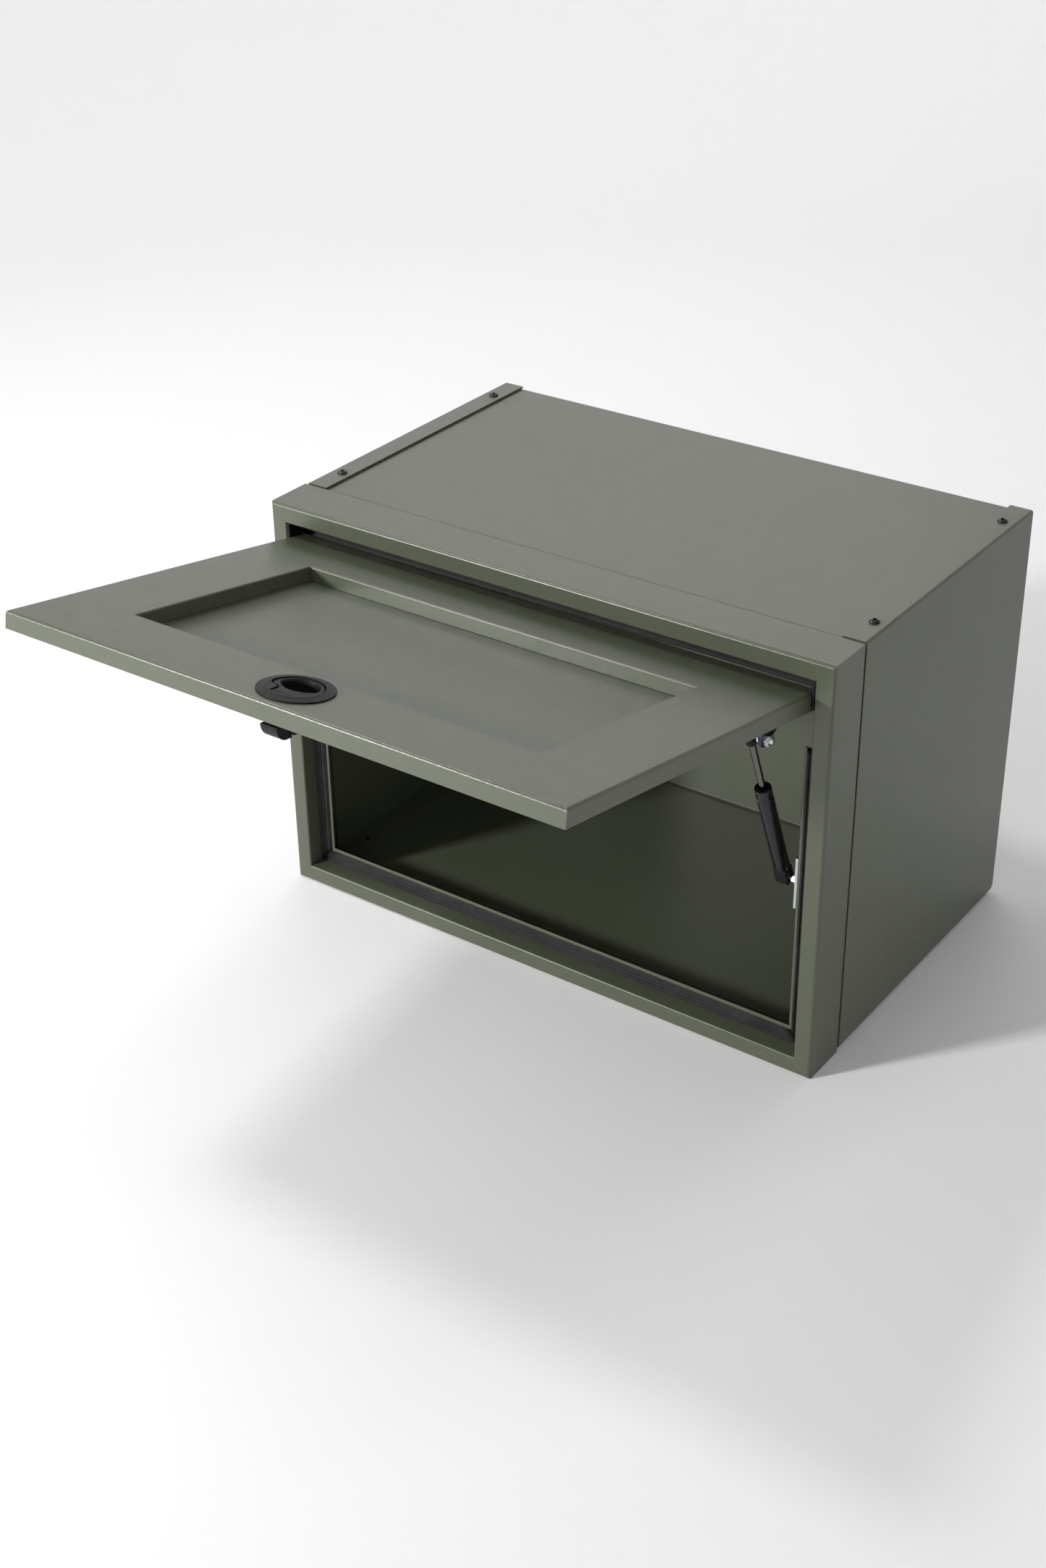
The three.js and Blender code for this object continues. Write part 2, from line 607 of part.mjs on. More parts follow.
function ballSocket(body) {
  return cut(body, new THREE.SphereGeometry(BALL_R + FIT, 16, 10), roundBar(0, 20, 0, 0, 3.4));
}
const lowerSocket = ballSocket(join(
  box(-6.5, 6.5, -SOCKET_R, SOCKET_R, -SOCKET_R, 13),
  holeUp(0, 0, 12, 22, 2.5),
));
add(strut, 'strut_lower_socket', lowerSocket, blackPlastic);
const groove = { low: TUBE_END - 13, high: TUBE_END - 9, radius: TUBE_R - 0.8 };
const tube = cut(
  turned([
    [0, TUBE_START], [TUBE_R - 1, TUBE_START], [TUBE_R, TUBE_START + 1], [TUBE_R, groove.low],
    [groove.radius, groove.low + 1], [groove.radius, groove.high - 1], [TUBE_R, groove.high],
    [TUBE_R, TUBE_END - 1.5], [TUBE_R - 1.2, TUBE_END], [0, TUBE_END],
  ], 24),
  holeUp(0, 0, TUBE_START - 2, TUBE_START + 10, 2.5 + FIT),
  holeUp(0, 0, TUBE_START + 12, TUBE_END + 1, TUBE_BORE),
);
add(strut, 'strut_tube', tube, blackSteel);
const guideRing = { inner: ROD_R + FIT, outer: TUBE_BORE - FIT, low: TUBE_END - 9, high: TUBE_END - 0.6 };
const guide = turned([
  [guideRing.inner, guideRing.low], [guideRing.outer, guideRing.low], [guideRing.outer, guideRing.high],
  [guideRing.inner, guideRing.high], [guideRing.inner, guideRing.low],
]);
add(strut, 'strut_rod_guide', guide, blackPlastic);
add(strut, 'strut_rod', holeUp(0, 0, ROD_START, strutReach - 12, ROD_R), brightSteel);
const piston = holeUp(0, 0, ROD_START - PISTON_LENGTH, ROD_START - FIT, TUBE_BORE - FIT);
add(strut, 'strut_piston', piston, blackPlastic);
const upperSocket = ballSocket(join(
  holeUp(0, 0, -11.7, -4, 5),
  roundBar(-5.5, 5.5, 0, 0, SOCKET_R, 20),
));
add(strut, 'strut_upper_socket', upperSocket, blackPlastic).position.z = strutReach;
const upperStud = ballStud(UPPER_PLATE_X - STRUT_X - FIT, 9.2, UPPER_PLATE_X - STRUT_X - 1);
add(strut, 'strut_upper_ball_stud', upperStud, zincSteel).position.z = strutReach;

// ---- door ----
const door = new THREE.Group(); // rotates about the hinge line
door.position.set(0, HINGE_Y, HINGE_Z);
door.rotation.x = THREE.MathUtils.degToRad(-OPEN_ANGLE);
cabinet.add(door);
const closedDoor = new THREE.Group(); // holds the pieces in closed-door coordinates
closedDoor.position.set(0, -HINGE_Y, -HINGE_Z);
door.add(closedDoor);

const DOOR_HALF = MOUTH_HALF - DOOR_GAP_SIDE;
function doorSkin() {
  const rim = { x: DOOR_HALF, low: DOOR_BOTTOM, high: DOOR_TOP };
  const recess = { x: RECESS_HALF, low: RECESS_BOTTOM, high: RECESS_TOP };
  const wallEnd = RECESS_DEPTH - FIT;
  const profile = [
    [rim, 0, DOOR_THICK],
    ...roundRun(rim, DOOR_EDGE, DOOR_EDGE, DOOR_EDGE, 180, 270),
    ...roundRun(recess, -RECESS_EDGE, RECESS_EDGE, RECESS_EDGE, -90, 0),
    [recess, 0, wallEnd],
    [recess, -DOOR_SKIN, wallEnd],
    [recess, -DOOR_SKIN, DOOR_SKIN],
    [rim, DOOR_EDGE, DOOR_SKIN],
    [rim, DOOR_SKIN, DOOR_EDGE],
    [rim, DOOR_SKIN, DOOR_THICK],
  ];
  const latchHole = holeBack(0, LATCH_Z, -1, DOOR_THICK + 1, BARREL_R + FIT, 40);
  const pinHole = roundBar(-DOOR_HALF - 2, DOOR_HALF + 2, HINGE_Y, HINGE_Z, HINGE_HOLE_R);
  return cut(mitredFrame(profile), latchHole, pinHole);
}
add(closedDoor, 'door_outer_skin', doorSkin(), olivePaint);

// upper strut bracket places, in closed-door coordinates
const headOffset = new THREE.Vector2(STRUT_HEAD.y - HINGE_Y, STRUT_HEAD.z - HINGE_Z)
  .rotateAround(new THREE.Vector2(), THREE.MathUtils.degToRad(OPEN_ANGLE));
const HEAD = { y: headOffset.x + HINGE_Y, z: headOffset.y + HINGE_Z };
const EAR = { top: 377.5, bottom: 329, seat: DOOR_THICK + FIT, tip: 7.5 };
const EAR_FLANGE_X = 274;
const EAR_SCREW_X = 267;
const EAR_HOLE_R = 2.7;
const EAR_SCREWS = { upper: 368, lower: 341 };

function doorBackPanel() {
  const margin = DOOR_SKIN + FIT;
  const plate = box(-DOOR_HALF + margin, DOOR_HALF - margin, RECESS_DEPTH, DOOR_THICK,
    DOOR_BOTTOM + margin, DOOR_TOP - margin);
  const holes = Object.values(EAR_SCREWS).map((z) => holeBack(EAR_SCREW_X, z, 12, 18, EAR_HOLE_R));
  holes.push(holeBack(0, LATCH_Z, 12, 18, BARREL_R + FIT, 40));
  return cut(plate, ...holes);
}
add(closedDoor, 'door_back_panel', doorBackPanel(), olivePaint);

function upperBracket() {
  const ear = new THREE.Shape();
  ear.moveTo(EAR.seat, EAR.bottom);
  ear.lineTo(EAR.seat, EAR.top);
  ear.lineTo(EAR.seat + 10, EAR.top);
  ear.absarc(HEAD.y, HEAD.z, EAR.tip, THREE.MathUtils.degToRad(60), THREE.MathUtils.degToRad(-50), true);
  ear.closePath();
  const back = EAR.seat + UPPER_PLATE;
  const flange = box(UPPER_PLATE_X, EAR_FLANGE_X, EAR.seat, back, EAR.bottom, EAR.top);
  const holes = Object.values(EAR_SCREWS).map((z) => holeBack(EAR_SCREW_X, z, 14, 22, EAR_HOLE_R));
  holes.push(roundBar(UPPER_PLATE_X - 1, UPPER_PLATE_X + 5, HEAD.y, HEAD.z, STUD_R + FIT));
  return cut(join(prism(ear, 'x', UPPER_PLATE_X, UPPER_PLATE_X + UPPER_PLATE), flange), ...holes);
}
add(closedDoor, 'strut_upper_bracket', upperBracket(), darkZinc);
Object.entries(EAR_SCREWS).forEach(([row, z]) => {
  const screw = turned([[0, -6], [2.4, -6], [2.4, FIT], [4.2, FIT], [3.9, 1.7], [2, 2.3], [0, 2.3]], 16);
  add(closedDoor, `upper_bracket_screw_${row}`, screw.rotateX(-Math.PI / 2), zincSteel)
    .position.set(EAR_SCREW_X, EAR.seat + UPPER_PLATE, z);
});
const upperNutX = UPPER_PLATE_X + UPPER_PLATE + FIT;
const upperNut = join(
  roundBar(upperNutX, upperNutX + 5, 0, 0, 5.6, 6),
  roundBar(UPPER_PLATE_X + 0.5, upperNutX + 7.7, 0, 0, STUD_R),
);
add(closedDoor, 'upper_ball_nut', upperNut, brightSteel).position.set(0, HEAD.y, HEAD.z);

// ---- slam latch: local y towards the hinge, local z out of the face ----
const latch = new THREE.Group();
latch.position.set(0, 0, LATCH_Z);
latch.rotation.x = Math.PI / 2;
closedDoor.add(latch);

// The pull's outline: a stem towards the free edge that flares into a round ring. Growing it by the
// gap makes the housing's pocket, with extra room at the flare, which moves that way as it lifts.
function pullOutline(grow) {
  const stem = STEM_HALF + grow;
  const ring = RING_R + grow;
  const end = PULL_PIN.y - grow;
  const drop = 1.5 * grow;
  const shape = new THREE.Shape();
  shape.moveTo(-stem, end);
  shape.lineTo(stem, end);
  shape.lineTo(stem, FLARE.start - drop);
  shape.bezierCurveTo(stem + 0.4, FLARE.near - drop, ring, FLARE.far - drop, ring, RING_Y);
  shape.absarc(0, RING_Y, ring, 0, Math.PI, false);
  shape.bezierCurveTo(-ring, FLARE.far - drop, -stem - 0.4, FLARE.near - drop, -stem, FLARE.start - drop);
  shape.closePath();
  return shape;
}

// The finger hole: a half disc towards the hinge with a low peak towards the stem.
function fingerOutline(grow) {
  const radius = FINGER_R + grow;
  const peak = FINGER_PEAK - grow;
  const shoulder = { x: radius * 0.9, y: -2 - grow };
  const shape = new THREE.Shape();
  shape.moveTo(radius, FINGER_Y);
  shape.absarc(0, FINGER_Y, radius, 0, Math.PI, false);
  shape.bezierCurveTo(-shoulder.x, shoulder.y, -5, peak, 0, peak);
  shape.bezierCurveTo(5, peak, shoulder.x, shoulder.y, radius, FINGER_Y);
  return shape;
}

function latchHousing() {
  const body = turned([
    [0, -BARREL_DEPTH], [BARREL_R - 0.8, -BARREL_DEPTH], [BARREL_R, -BARREL_DEPTH + 0.8], [BARREL_R, FIT],
    [BEZEL_R, FIT], [BEZEL_R, 0.9], [BEZEL_R - 0.5, 1.3], [DIAL_R + 0.6, BEZEL_RISE], [0, BEZEL_RISE],
  ], 40);
  const { y, z, r } = PULL_PIN;
  const pocket = STEM_HALF + RING_GAP;
  const room = KNUCKLE_R + 0.7;
  return cut(body,
    prism(pullOutline(RING_GAP), 'z', RING_BOTTOM - 1, BEZEL_RISE + 1),
    prism(fingerOutline(1), 'z', WELL_FLOOR, 0),
    box(-TAIL.half - 0.7, TAIL.half + 0.7, -20, 0, -BARREL_DEPTH - 1, 0),
    roundBar(-pocket, pocket, y, z, room),
    box(-pocket, pocket, y - room, y, z, BEZEL_RISE + 1),
    roundBar(-PIN_HALF - 0.4, PIN_HALF + 0.4, y, z, r + FIT),
    roundBar(STEM_HALF, PIN_HALF + 0.2, y, z, SPRING_ROOM));
}
add(latch, 'latch_housing', latchHousing(), blackPlastic);

function pullRing() {
  const plate = cut(
    prism(pullOutline(0), 'z', RING_BOTTOM, RING_TOP),
    prism(fingerOutline(0), 'z', RING_BOTTOM - 1, RING_TOP + 1),
  );
  const knuckle = roundBar(-STEM_HALF, STEM_HALF, PULL_PIN.y, PULL_PIN.z, KNUCKLE_R, 20);
  const tail = box(-TAIL.half, TAIL.half, PULL_PIN.y - 1.6, PULL_PIN.y + 1, TAIL.tip, PULL_PIN.z);
  const bore = roundBar(-STEM_HALF - 1, STEM_HALF + 1, PULL_PIN.y, PULL_PIN.z, PULL_PIN.r + FIT);
  return cut(join(plate, knuckle, tail), bore);
}
add(latch, 'latch_pull_ring', pullRing(), blackPlastic);
add(latch, 'latch_pin', roundBar(-PIN_HALF, PIN_HALF, PULL_PIN.y, PULL_PIN.z, PULL_PIN.r), zincSteel);

function returnSpring() {
  const turns = 2.5;
  const steps = 25;
  const spots = [];
  for (let step = 0; step <= steps; step += 1) {
    const angle = (step / steps) * turns * 2 * Math.PI;
    const x = STEM_HALF + 1 + (step / steps) * 2.2;
    spots.push(new THREE.Vector3(x, SPRING_R * Math.cos(angle), SPRING_R * Math.sin(angle)));
  }
  const extrudePath = new THREE.CatmullRomCurve3(spots);
  const wire = new THREE.Shape().absarc(0, 0, SPRING_WIRE_R, 0, 2 * Math.PI);
  return new THREE.ExtrudeGeometry(wire, { steps, extrudePath, curveSegments: 3, bevelEnabled: false })
    .translate(0, PULL_PIN.y, PULL_PIN.z);
}
add(latch, 'latch_return_spring', returnSpring(), zincSteel);

// The bolt slides towards the hinge; its head hangs below its shank and is curved to ride over the
// lower stop strip as the door slams.
const SHANK = { end: 15, bottom: BOLT_TOP - 7 };
const HEAD_FACE = { rear: -13, flat: -18, bottom: BOLT_TOP - 12.2, lip: BOLT_TOP - 5 };
function bolt() {
  const side = new THREE.Shape();
  side.moveTo(SHANK.end, BOLT_TOP);
  side.lineTo(SHANK.end, SHANK.bottom);
  side.lineTo(HEAD_FACE.rear, SHANK.bottom);
  side.lineTo(HEAD_FACE.rear, HEAD_FACE.bottom + 0.2);
  side.lineTo(HEAD_FACE.flat, HEAD_FACE.bottom);
  side.quadraticCurveTo(-25.5, HEAD_FACE.bottom + 1.2, BOLT_TIP, HEAD_FACE.lip);
  side.lineTo(BOLT_TIP, BOLT_TOP);
  side.closePath();
  const { y } = PULL_PIN;
  const slot = box(-TAIL.half - 0.7, TAIL.half + 0.7, y - 2.9, y + 1.4, TAIL.tip - 1, BOLT_TOP + 1);
  return cut(prism(side, 'x', -BOLT_HALF, BOLT_HALF), slot);
}
add(latch, 'latch_bolt', bolt(), blackPlastic);

const GUIDE_TOP = -BARREL_DEPTH - FIT;
const GUIDE_WALL = 2.5;
const GUIDE_END = 20;
const EAR_SHEET = 1.8; // thickness of the guide's two fixing ears
const GUIDE_SCREW = { x: 16.5, y: 8 };
function boltGuide() {
  const inner = BOLT_HALF + 0.4;
  const outer = inner + GUIDE_WALL;
  const tip = outer + 8;
  const floor = SHANK.bottom - 0.4;
  const pieces = [
    box(-outer, outer, 0.5, GUIDE_END, floor - 2, floor),
    box(inner, outer, -14, GUIDE_END, floor - 1, GUIDE_TOP),
    box(-outer, -inner, -14, GUIDE_END, floor - 1, GUIDE_TOP),
    box(inner, tip, 0, 16, GUIDE_TOP - EAR_SHEET, GUIDE_TOP),
    box(-tip, -inner, 0, 16, GUIDE_TOP - EAR_SHEET, GUIDE_TOP),
  ];
  const holes = [-1, 1].map((side) => (
    holeUp(side * GUIDE_SCREW.x, GUIDE_SCREW.y, GUIDE_TOP - 3, GUIDE_TOP + 1, 1.8)
  ));
  return cut(join(...pieces), ...holes);
}
add(latch, 'latch_bolt_guide', boltGuide(), blackPlastic);
[-1, 1].forEach((side) => {
  const screw = turned([[0, 0], [2.8, 0], [3, 0.4], [3, 1.7], [1.5, 1.7], [1.5, 3.7], [0, 3.7]], 12);
  add(latch, `latch_guide_screw_${SIDE_NAMES[side]}`, screw, zincSteel)
    .position.set(side * GUIDE_SCREW.x, GUIDE_SCREW.y, GUIDE_TOP - EAR_SHEET - 2);
});

const COLLAR_R = 29;
function retainingRing() {
  const high = -DOOR_THICK - FIT;
  const low = high - 2.5;
  return cut(
    turned([[0, low], [COLLAR_R - 0.4, low], [COLLAR_R, low + 0.4], [COLLAR_R, high], [0, high]], 32),
    holeUp(0, 0, low - 1, high + 1, BARREL_R + FIT, 40),
    box(-30, 30, -32, -26.2, low - 1, high + 1),
  );
}
add(latch, 'latch_retaining_ring', retainingRing(), blackPlastic);

export default cabinet;
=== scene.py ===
# Looks for the lift-up door locker box: finer meshes for the small pieces, edge rounding for the
# folded sheet, procedural finishes, a pale studio and the camera. Metres, same frame as the CAD.
import json
import math

import bmesh
import bpy
from mathutils import Matrix, Vector


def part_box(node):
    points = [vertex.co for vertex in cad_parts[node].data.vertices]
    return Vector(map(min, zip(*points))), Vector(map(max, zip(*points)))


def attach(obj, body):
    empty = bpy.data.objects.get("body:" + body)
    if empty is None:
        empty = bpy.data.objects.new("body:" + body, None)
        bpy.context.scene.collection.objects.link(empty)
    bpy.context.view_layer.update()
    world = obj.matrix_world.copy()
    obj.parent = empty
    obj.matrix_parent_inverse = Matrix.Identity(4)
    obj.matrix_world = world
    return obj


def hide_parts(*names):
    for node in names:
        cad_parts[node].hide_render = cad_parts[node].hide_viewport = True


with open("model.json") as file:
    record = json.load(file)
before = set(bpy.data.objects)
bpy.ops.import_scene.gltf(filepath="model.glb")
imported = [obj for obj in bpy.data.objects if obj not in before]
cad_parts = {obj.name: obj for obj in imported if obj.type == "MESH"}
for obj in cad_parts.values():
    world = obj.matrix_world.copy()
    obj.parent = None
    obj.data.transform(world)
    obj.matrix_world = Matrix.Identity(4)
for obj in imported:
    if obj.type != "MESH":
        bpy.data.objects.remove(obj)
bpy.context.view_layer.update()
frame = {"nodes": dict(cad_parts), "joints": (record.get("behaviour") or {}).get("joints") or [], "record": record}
nodes = frame["nodes"]
MM = 0.001

# ---- camera ----
CAMERA_PLACE = Vector((1.0398, -1.6353, 1.2660))
CAMERA_HEADING = 36.01  # degrees to the left of +Y
CAMERA_PITCH = -30.65
CAMERA_ROLL = -0.92
FILM_HEIGHT = 36.0
LENS = 51.81


def make_camera():
    data = bpy.data.cameras.new("camera")
    data.sensor_fit = "VERTICAL"
    data.sensor_height = FILM_HEIGHT
    data.lens = LENS
    data.clip_end = 50
    camera = bpy.data.objects.new("camera", data)
    bpy.context.scene.collection.objects.link(camera)
    turn = Matrix.Rotation(math.radians(CAMERA_HEADING), 4, "Z")
    tip = Matrix.Rotation(math.radians(90 + CAMERA_PITCH), 4, "X")
    roll = Matrix.Rotation(math.radians(CAMERA_ROLL), 4, "Z")
    camera.matrix_world = Matrix.Translation(CAMERA_PLACE) @ turn @ tip @ roll
    bpy.context.scene.camera = camera


make_camera()


# ---- material building: a scale is features per metre, a bump's distance is in metres ----
class Graph:
    """A material's node tree with short helpers; the shader is kept as self.shader."""

    def __init__(self, name):
        self.material = bpy.data.materials.new(name)
        self.material.use_nodes = True
        self.tree = self.material.node_tree
        self.tree.nodes.clear()
        self.shader = self.add("ShaderNodeBsdfPrincipled")
        output = self.add("ShaderNodeOutputMaterial")
        self.link(self.shader.outputs["BSDF"], output.inputs["Surface"])
        place = self.add("ShaderNodeTexCoord")
        self.place = place.outputs["Object"]

    def add(self, kind, **settings):
        node = self.tree.nodes.new(kind)
        for key, value in settings.items():
            setattr(node, key, value)
        return node

    def link(self, source, target):
        self.tree.links.new(source, target)

    def noise(self, scale, detail=3.0, roughness=0.5, place=None):
        node = self.add("ShaderNodeTexNoise")
        node.inputs["Scale"].default_value = scale
        node.inputs["Detail"].default_value = detail
        node.inputs["Roughness"].default_value = roughness
        self.link(place or self.place, node.inputs["Vector"])
        return node.outputs["Fac"]

    def cells(self, scale, feature="SMOOTH_F1"):
        node = self.add("ShaderNodeTexVoronoi", feature=feature)
        node.inputs["Scale"].default_value = scale
        self.link(self.place, node.inputs["Vector"])
        return node.outputs["Distance"]

    def ramp(self, source, low, high, start=0.0, end=1.0):
        node = self.add("ShaderNodeMapRange")
        node.inputs["From Min"].default_value = start
        node.inputs["From Max"].default_value = end
        node.inputs["To Min"].default_value = low
        node.inputs["To Max"].default_value = high
        self.link(source, node.inputs["Value"])
        return node.outputs["Result"]

    def tint(self, source, dark, light):
        """Mixes two colours, each a tuple or another node's output."""
        node = self.add("ShaderNodeMix", data_type="RGBA")
        for socket, colour in (("A", dark), ("B", light)):
            target = next(item for item in node.inputs if item.name == socket and item.type == "RGBA")
            if isinstance(colour, tuple):
                target.default_value = (*colour, 1)
            else:
                self.link(colour, target)
        self.link(source, node.inputs["Factor"])
        return next(item for item in node.outputs if item.type == "RGBA")

    def sum(self, a, b, weight):
        node = self.add("ShaderNodeMath", operation="MULTIPLY_ADD")
        node.inputs[1].default_value = weight
        self.link(b, node.inputs[0])
        self.link(a, node.inputs[2])
        return node.outputs[0]

    def bump(self, height, strength, distance, under=None):
        node = self.add("ShaderNodeBump")
        node.inputs["Strength"].default_value = strength
        node.inputs["Distance"].default_value = distance
        self.link(height, node.inputs["Height"])
        if under:
            self.link(under, node.inputs["Normal"])
        return node.outputs["Normal"]


DUST = (0.45, 0.45, 0.43)


def powder_coat(name, dark, light, roughness):
    """Fine pebbled polyester powder: shallow cells with a softer wave below, faintly mottled, and a
    few specks of dust."""
    g = Graph(name)
    mottle = g.sum(g.noise(9, 4), g.noise(420, 2), 0.35)
    coat = g.tint(g.ramp(mottle, low=0, high=1, end=1.3), dark, light)
    specks = g.ramp(g.cells(45, "F1"), low=1, high=0, start=0.008, end=0.016)
    g.link(g.tint(specks, coat, DUST), g.shader.inputs["Base Color"])
    g.link(g.ramp(g.noise(60, 4), roughness - 0.05, roughness + 0.06), g.shader.inputs["Roughness"])
    pebbles = g.sum(g.cells(850), g.noise(1500, 2), 0.35)
    fine = g.bump(pebbles, strength=0.42, distance=0.0002)
    wave = g.noise(240, 2)
    g.link(g.bump(wave, strength=0.08, distance=0.0004, under=fine), g.shader.inputs["Normal"])
    g.shader.inputs["Specular IOR Level"].default_value = 0.5
    return g.material


def rubber(name, dark, dusty):
    """Dull rubber with patches of pale dust."""
    g = Graph(name)
    dust = g.sum(g.noise(35, 5), g.noise(700, 3), 0.5)
    patches = g.ramp(dust, low=0, high=1, start=0.5, end=1.1)
    g.link(g.tint(patches, dark, dusty), g.shader.inputs["Base Color"])
    g.link(g.ramp(g.noise(120, 3), 0.5, 0.68), g.shader.inputs["Roughness"])
    g.link(g.bump(g.noise(1600, 3), strength=0.25, distance=0.00015), g.shader.inputs["Normal"])
    g.shader.inputs["Specular IOR Level"].default_value = 0.25
    return g.material


def moulded_plastic(name, dark, light, roughness):
    """Glass-filled nylon: spark-eroded grain and slight flow mottling."""
    g = Graph(name)
    g.link(g.tint(g.noise(45, 4), dark, light), g.shader.inputs["Base Color"])
    g.link(g.ramp(g.noise(300, 3), roughness - 0.05, roughness + 0.08), g.shader.inputs["Roughness"])
    grain = g.sum(g.noise(1900, 3), g.cells(1300), 0.5)
    g.link(g.bump(grain, strength=0.3, distance=0.00014), g.shader.inputs["Normal"])
    g.shader.inputs["Specular IOR Level"].default_value = 0.16
    return g.material


def plated(name, dark, light, roughness, grain=(1, 1, 1), metallic=1.0):
    """Plated, ground or enamelled steel: cloudy in tone, with lines drawn out where grain is small."""
    g = Graph(name)
    stretch = g.add("ShaderNodeMapping")
    stretch.inputs["Scale"].default_value = grain
    g.link(g.place, stretch.inputs["Vector"])
    lines = g.noise(900, 3, 0.6, stretch.outputs["Vector"])
    clouds = g.noise(140, 4)
    g.link(g.tint(clouds, dark, light), g.shader.inputs["Base Color"])
    g.shader.inputs["Metallic"].default_value = metallic
    wear = g.ramp(g.sum(clouds, lines, 0.5), roughness - 0.06, roughness + 0.1, start=0.3, end=1.1)
    g.link(wear, g.shader.inputs["Roughness"])
    g.link(g.bump(lines, strength=0.12, distance=0.00008), g.shader.inputs["Normal"])
    return g.material


ALONG_Z = (1, 1, 0.05)  # draws the grain out along z
OLIVE = powder_coat("olive_powder_coat", (0.073, 0.082, 0.055), (0.087, 0.097, 0.065), 0.32)
RUBBER = rubber("ribbed_rubber", (0.010, 0.0095, 0.010), (0.030, 0.028, 0.029))
NYLON = moulded_plastic("black_nylon", (0.008, 0.008, 0.009), (0.013, 0.013, 0.014), 0.46)
BLACK_STEEL = plated("black_enamel", (0.004, 0.004, 0.0045), (0.008, 0.008, 0.009), 0.20, metallic=0.0)
ZINC = plated("bright_zinc", (0.60, 0.63, 0.66), (0.76, 0.78, 0.80), 0.30)
BLUE_ZINC = plated("dark_zinc", (0.030, 0.042, 0.062), (0.065, 0.085, 0.120), 0.30)
BRIGHT = plated("ground_steel", (0.66, 0.67, 0.68), (0.80, 0.80, 0.81), 0.16, ALONG_Z)
# painted reflection: the rod's steel gets a dark base colour that stands in for the dark surroundings it reflects;
# it is not a dark finish of its own
ROD_STEEL_DARKENED_FOR_REFLECTION = plated("dark_chrome", (0.15, 0.14, 0.135), (0.22, 0.21, 0.20), 0.12, ALONG_Z)
SLOT_MATERIALS = {
    "olive_paint": OLIVE,
    "black_rubber": RUBBER,
    "black_plastic": NYLON,
    "black_steel": BLACK_STEEL,
    "zinc_steel": ZINC,
    "blue_zinc": BLUE_ZINC,
    "bright_steel": BRIGHT,
}
NODE_SLOTS = {row["node"]: row["material_slot"] for row in frame["record"]["subparts"]}


# ---- finishing ----
WELD_GAP = 1e-6
FLAT_ANGLE = math.radians(0.5)  # facets that meet at less than this become one face
EDGE_ANGLE = math.radians(40)  # edges that turn more than this are rounded
EDGE_SEGMENTS = 3


def dress(obj, material, bevel):
    """Gives an object its finish, rounded edges and even shading, without touching its mesh's points."""
    obj.data.materials.clear()
    obj.data.materials.append(material)
    for polygon in obj.data.polygons:
        polygon.use_smooth = True
    weld = obj.modifiers.new("weld", "WELD")
    weld.merge_threshold = WELD_GAP
    if bevel:
        flat = obj.modifiers.new("flat", "DECIMATE")
        flat.decimate_type = "DISSOLVE"
        flat.angle_limit = FLAT_ANGLE
        rounding = obj.modifiers.new("rounding", "BEVEL")
        rounding.width = bevel
        rounding.segments = EDGE_SEGMENTS
        rounding.limit_method = "ANGLE"
        rounding.angle_limit = EDGE_ANGLE
        rounding.harden_normals = True
    even = obj.modifiers.new("even", "WEIGHTED_NORMAL")
    even.weight = 100
    even.keep_sharp = True


# ---- places taken from the frame ----
JOINTS = {joint["name"]: joint for joint in frame["joints"]}
BODY_OF = {name: body for body, names in frame["record"]["behaviour"]["bodies"].items() for name in names}
TO_METRES = Matrix.Scale(MM, 4)


def axes_matrix(origin, x, y, z):
    matrix = Matrix((Vector(x), Vector(y), Vector(z))).transposed().to_4x4()
    matrix.translation = Vector(origin)
    return matrix


def shift(x, y, z):
    return Matrix.Translation((x, y, z))


def centre(node):
    low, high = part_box(node)
    return (low + high) / 2


X_AXIS = Vector((1, 0, 0))
Z_TO_X = axes_matrix((0, 0, 0), (0, 1, 0), (0, 0, 1), (1, 0, 0))  # outlines in y, z; heights along x
Z_TO_Y = axes_matrix((0, 0, 0), (-1, 0, 0), (0, 0, 1), (0, 1, 0))  # heights along y

# strut frame: foot ball at the origin, z along the strut
strut_way = Vector(JOINTS["strut_rod_slide"]["axis"]).normalized()
STRUT = axes_matrix(JOINTS["strut_tilt"]["pos_m"], X_AXIS, strut_way.cross(X_AXIS), strut_way)
STRUT_REACH = (centre("strut_upper_ball_stud") - STRUT.translation).dot(strut_way) / MM

# latch frame: y towards the hinge, z out of the door's face
PIN = Vector((0, -16.6, -0.8))  # the pull's pin in the latch frame, millimetres
bolt_way = Vector(JOINTS["bolt_slide"]["axis"]).normalized()
LATCH = axes_matrix(JOINTS["pull_ring_lift"]["pos_m"], X_AXIS, bolt_way, X_AXIS.cross(bolt_way))
LATCH = LATCH @ Matrix.Translation(-PIN * MM)

# door frame: the door as it is when closed, y back from the front plane
DOOR_SWING = math.radians(JOINTS["door_hinge"]["range_deg"][1])
hinge_spot = Vector(JOINTS["door_hinge"]["pos_m"])
front_plane = Vector((0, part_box("front_frame")[0].y, 0))
DOOR = (Matrix.Translation(hinge_spot) @ Matrix.Rotation(-DOOR_SWING, 4, "X")
        @ Matrix.Translation(front_plane - hinge_spot))


def local_centre(node, place):
    """The middle of a node's box in millimetres, measured in the frame of place."""
    back = (place @ TO_METRES).inverted()
    spots = [back @ vertex.co for vertex in nodes[node].data.vertices]
    return Vector(((min(s[i] for s in spots) + max(s[i] for s in spots)) / 2 for i in range(3)))


# ---- mesh building: shapes are drawn in millimetres in a local frame ----
def new_mesh(name, vertices, faces):
    """A mesh from points and faces; faces that aren't valid are dropped."""
    mesh = bpy.data.meshes.new(name)
    mesh.from_pydata([tuple(v) for v in vertices], [], faces)
    mesh.validate()
    return mesh


def placed(mesh, matrix):
    """Moves a mesh and hands it back."""
    mesh.transform(matrix)
    return mesh


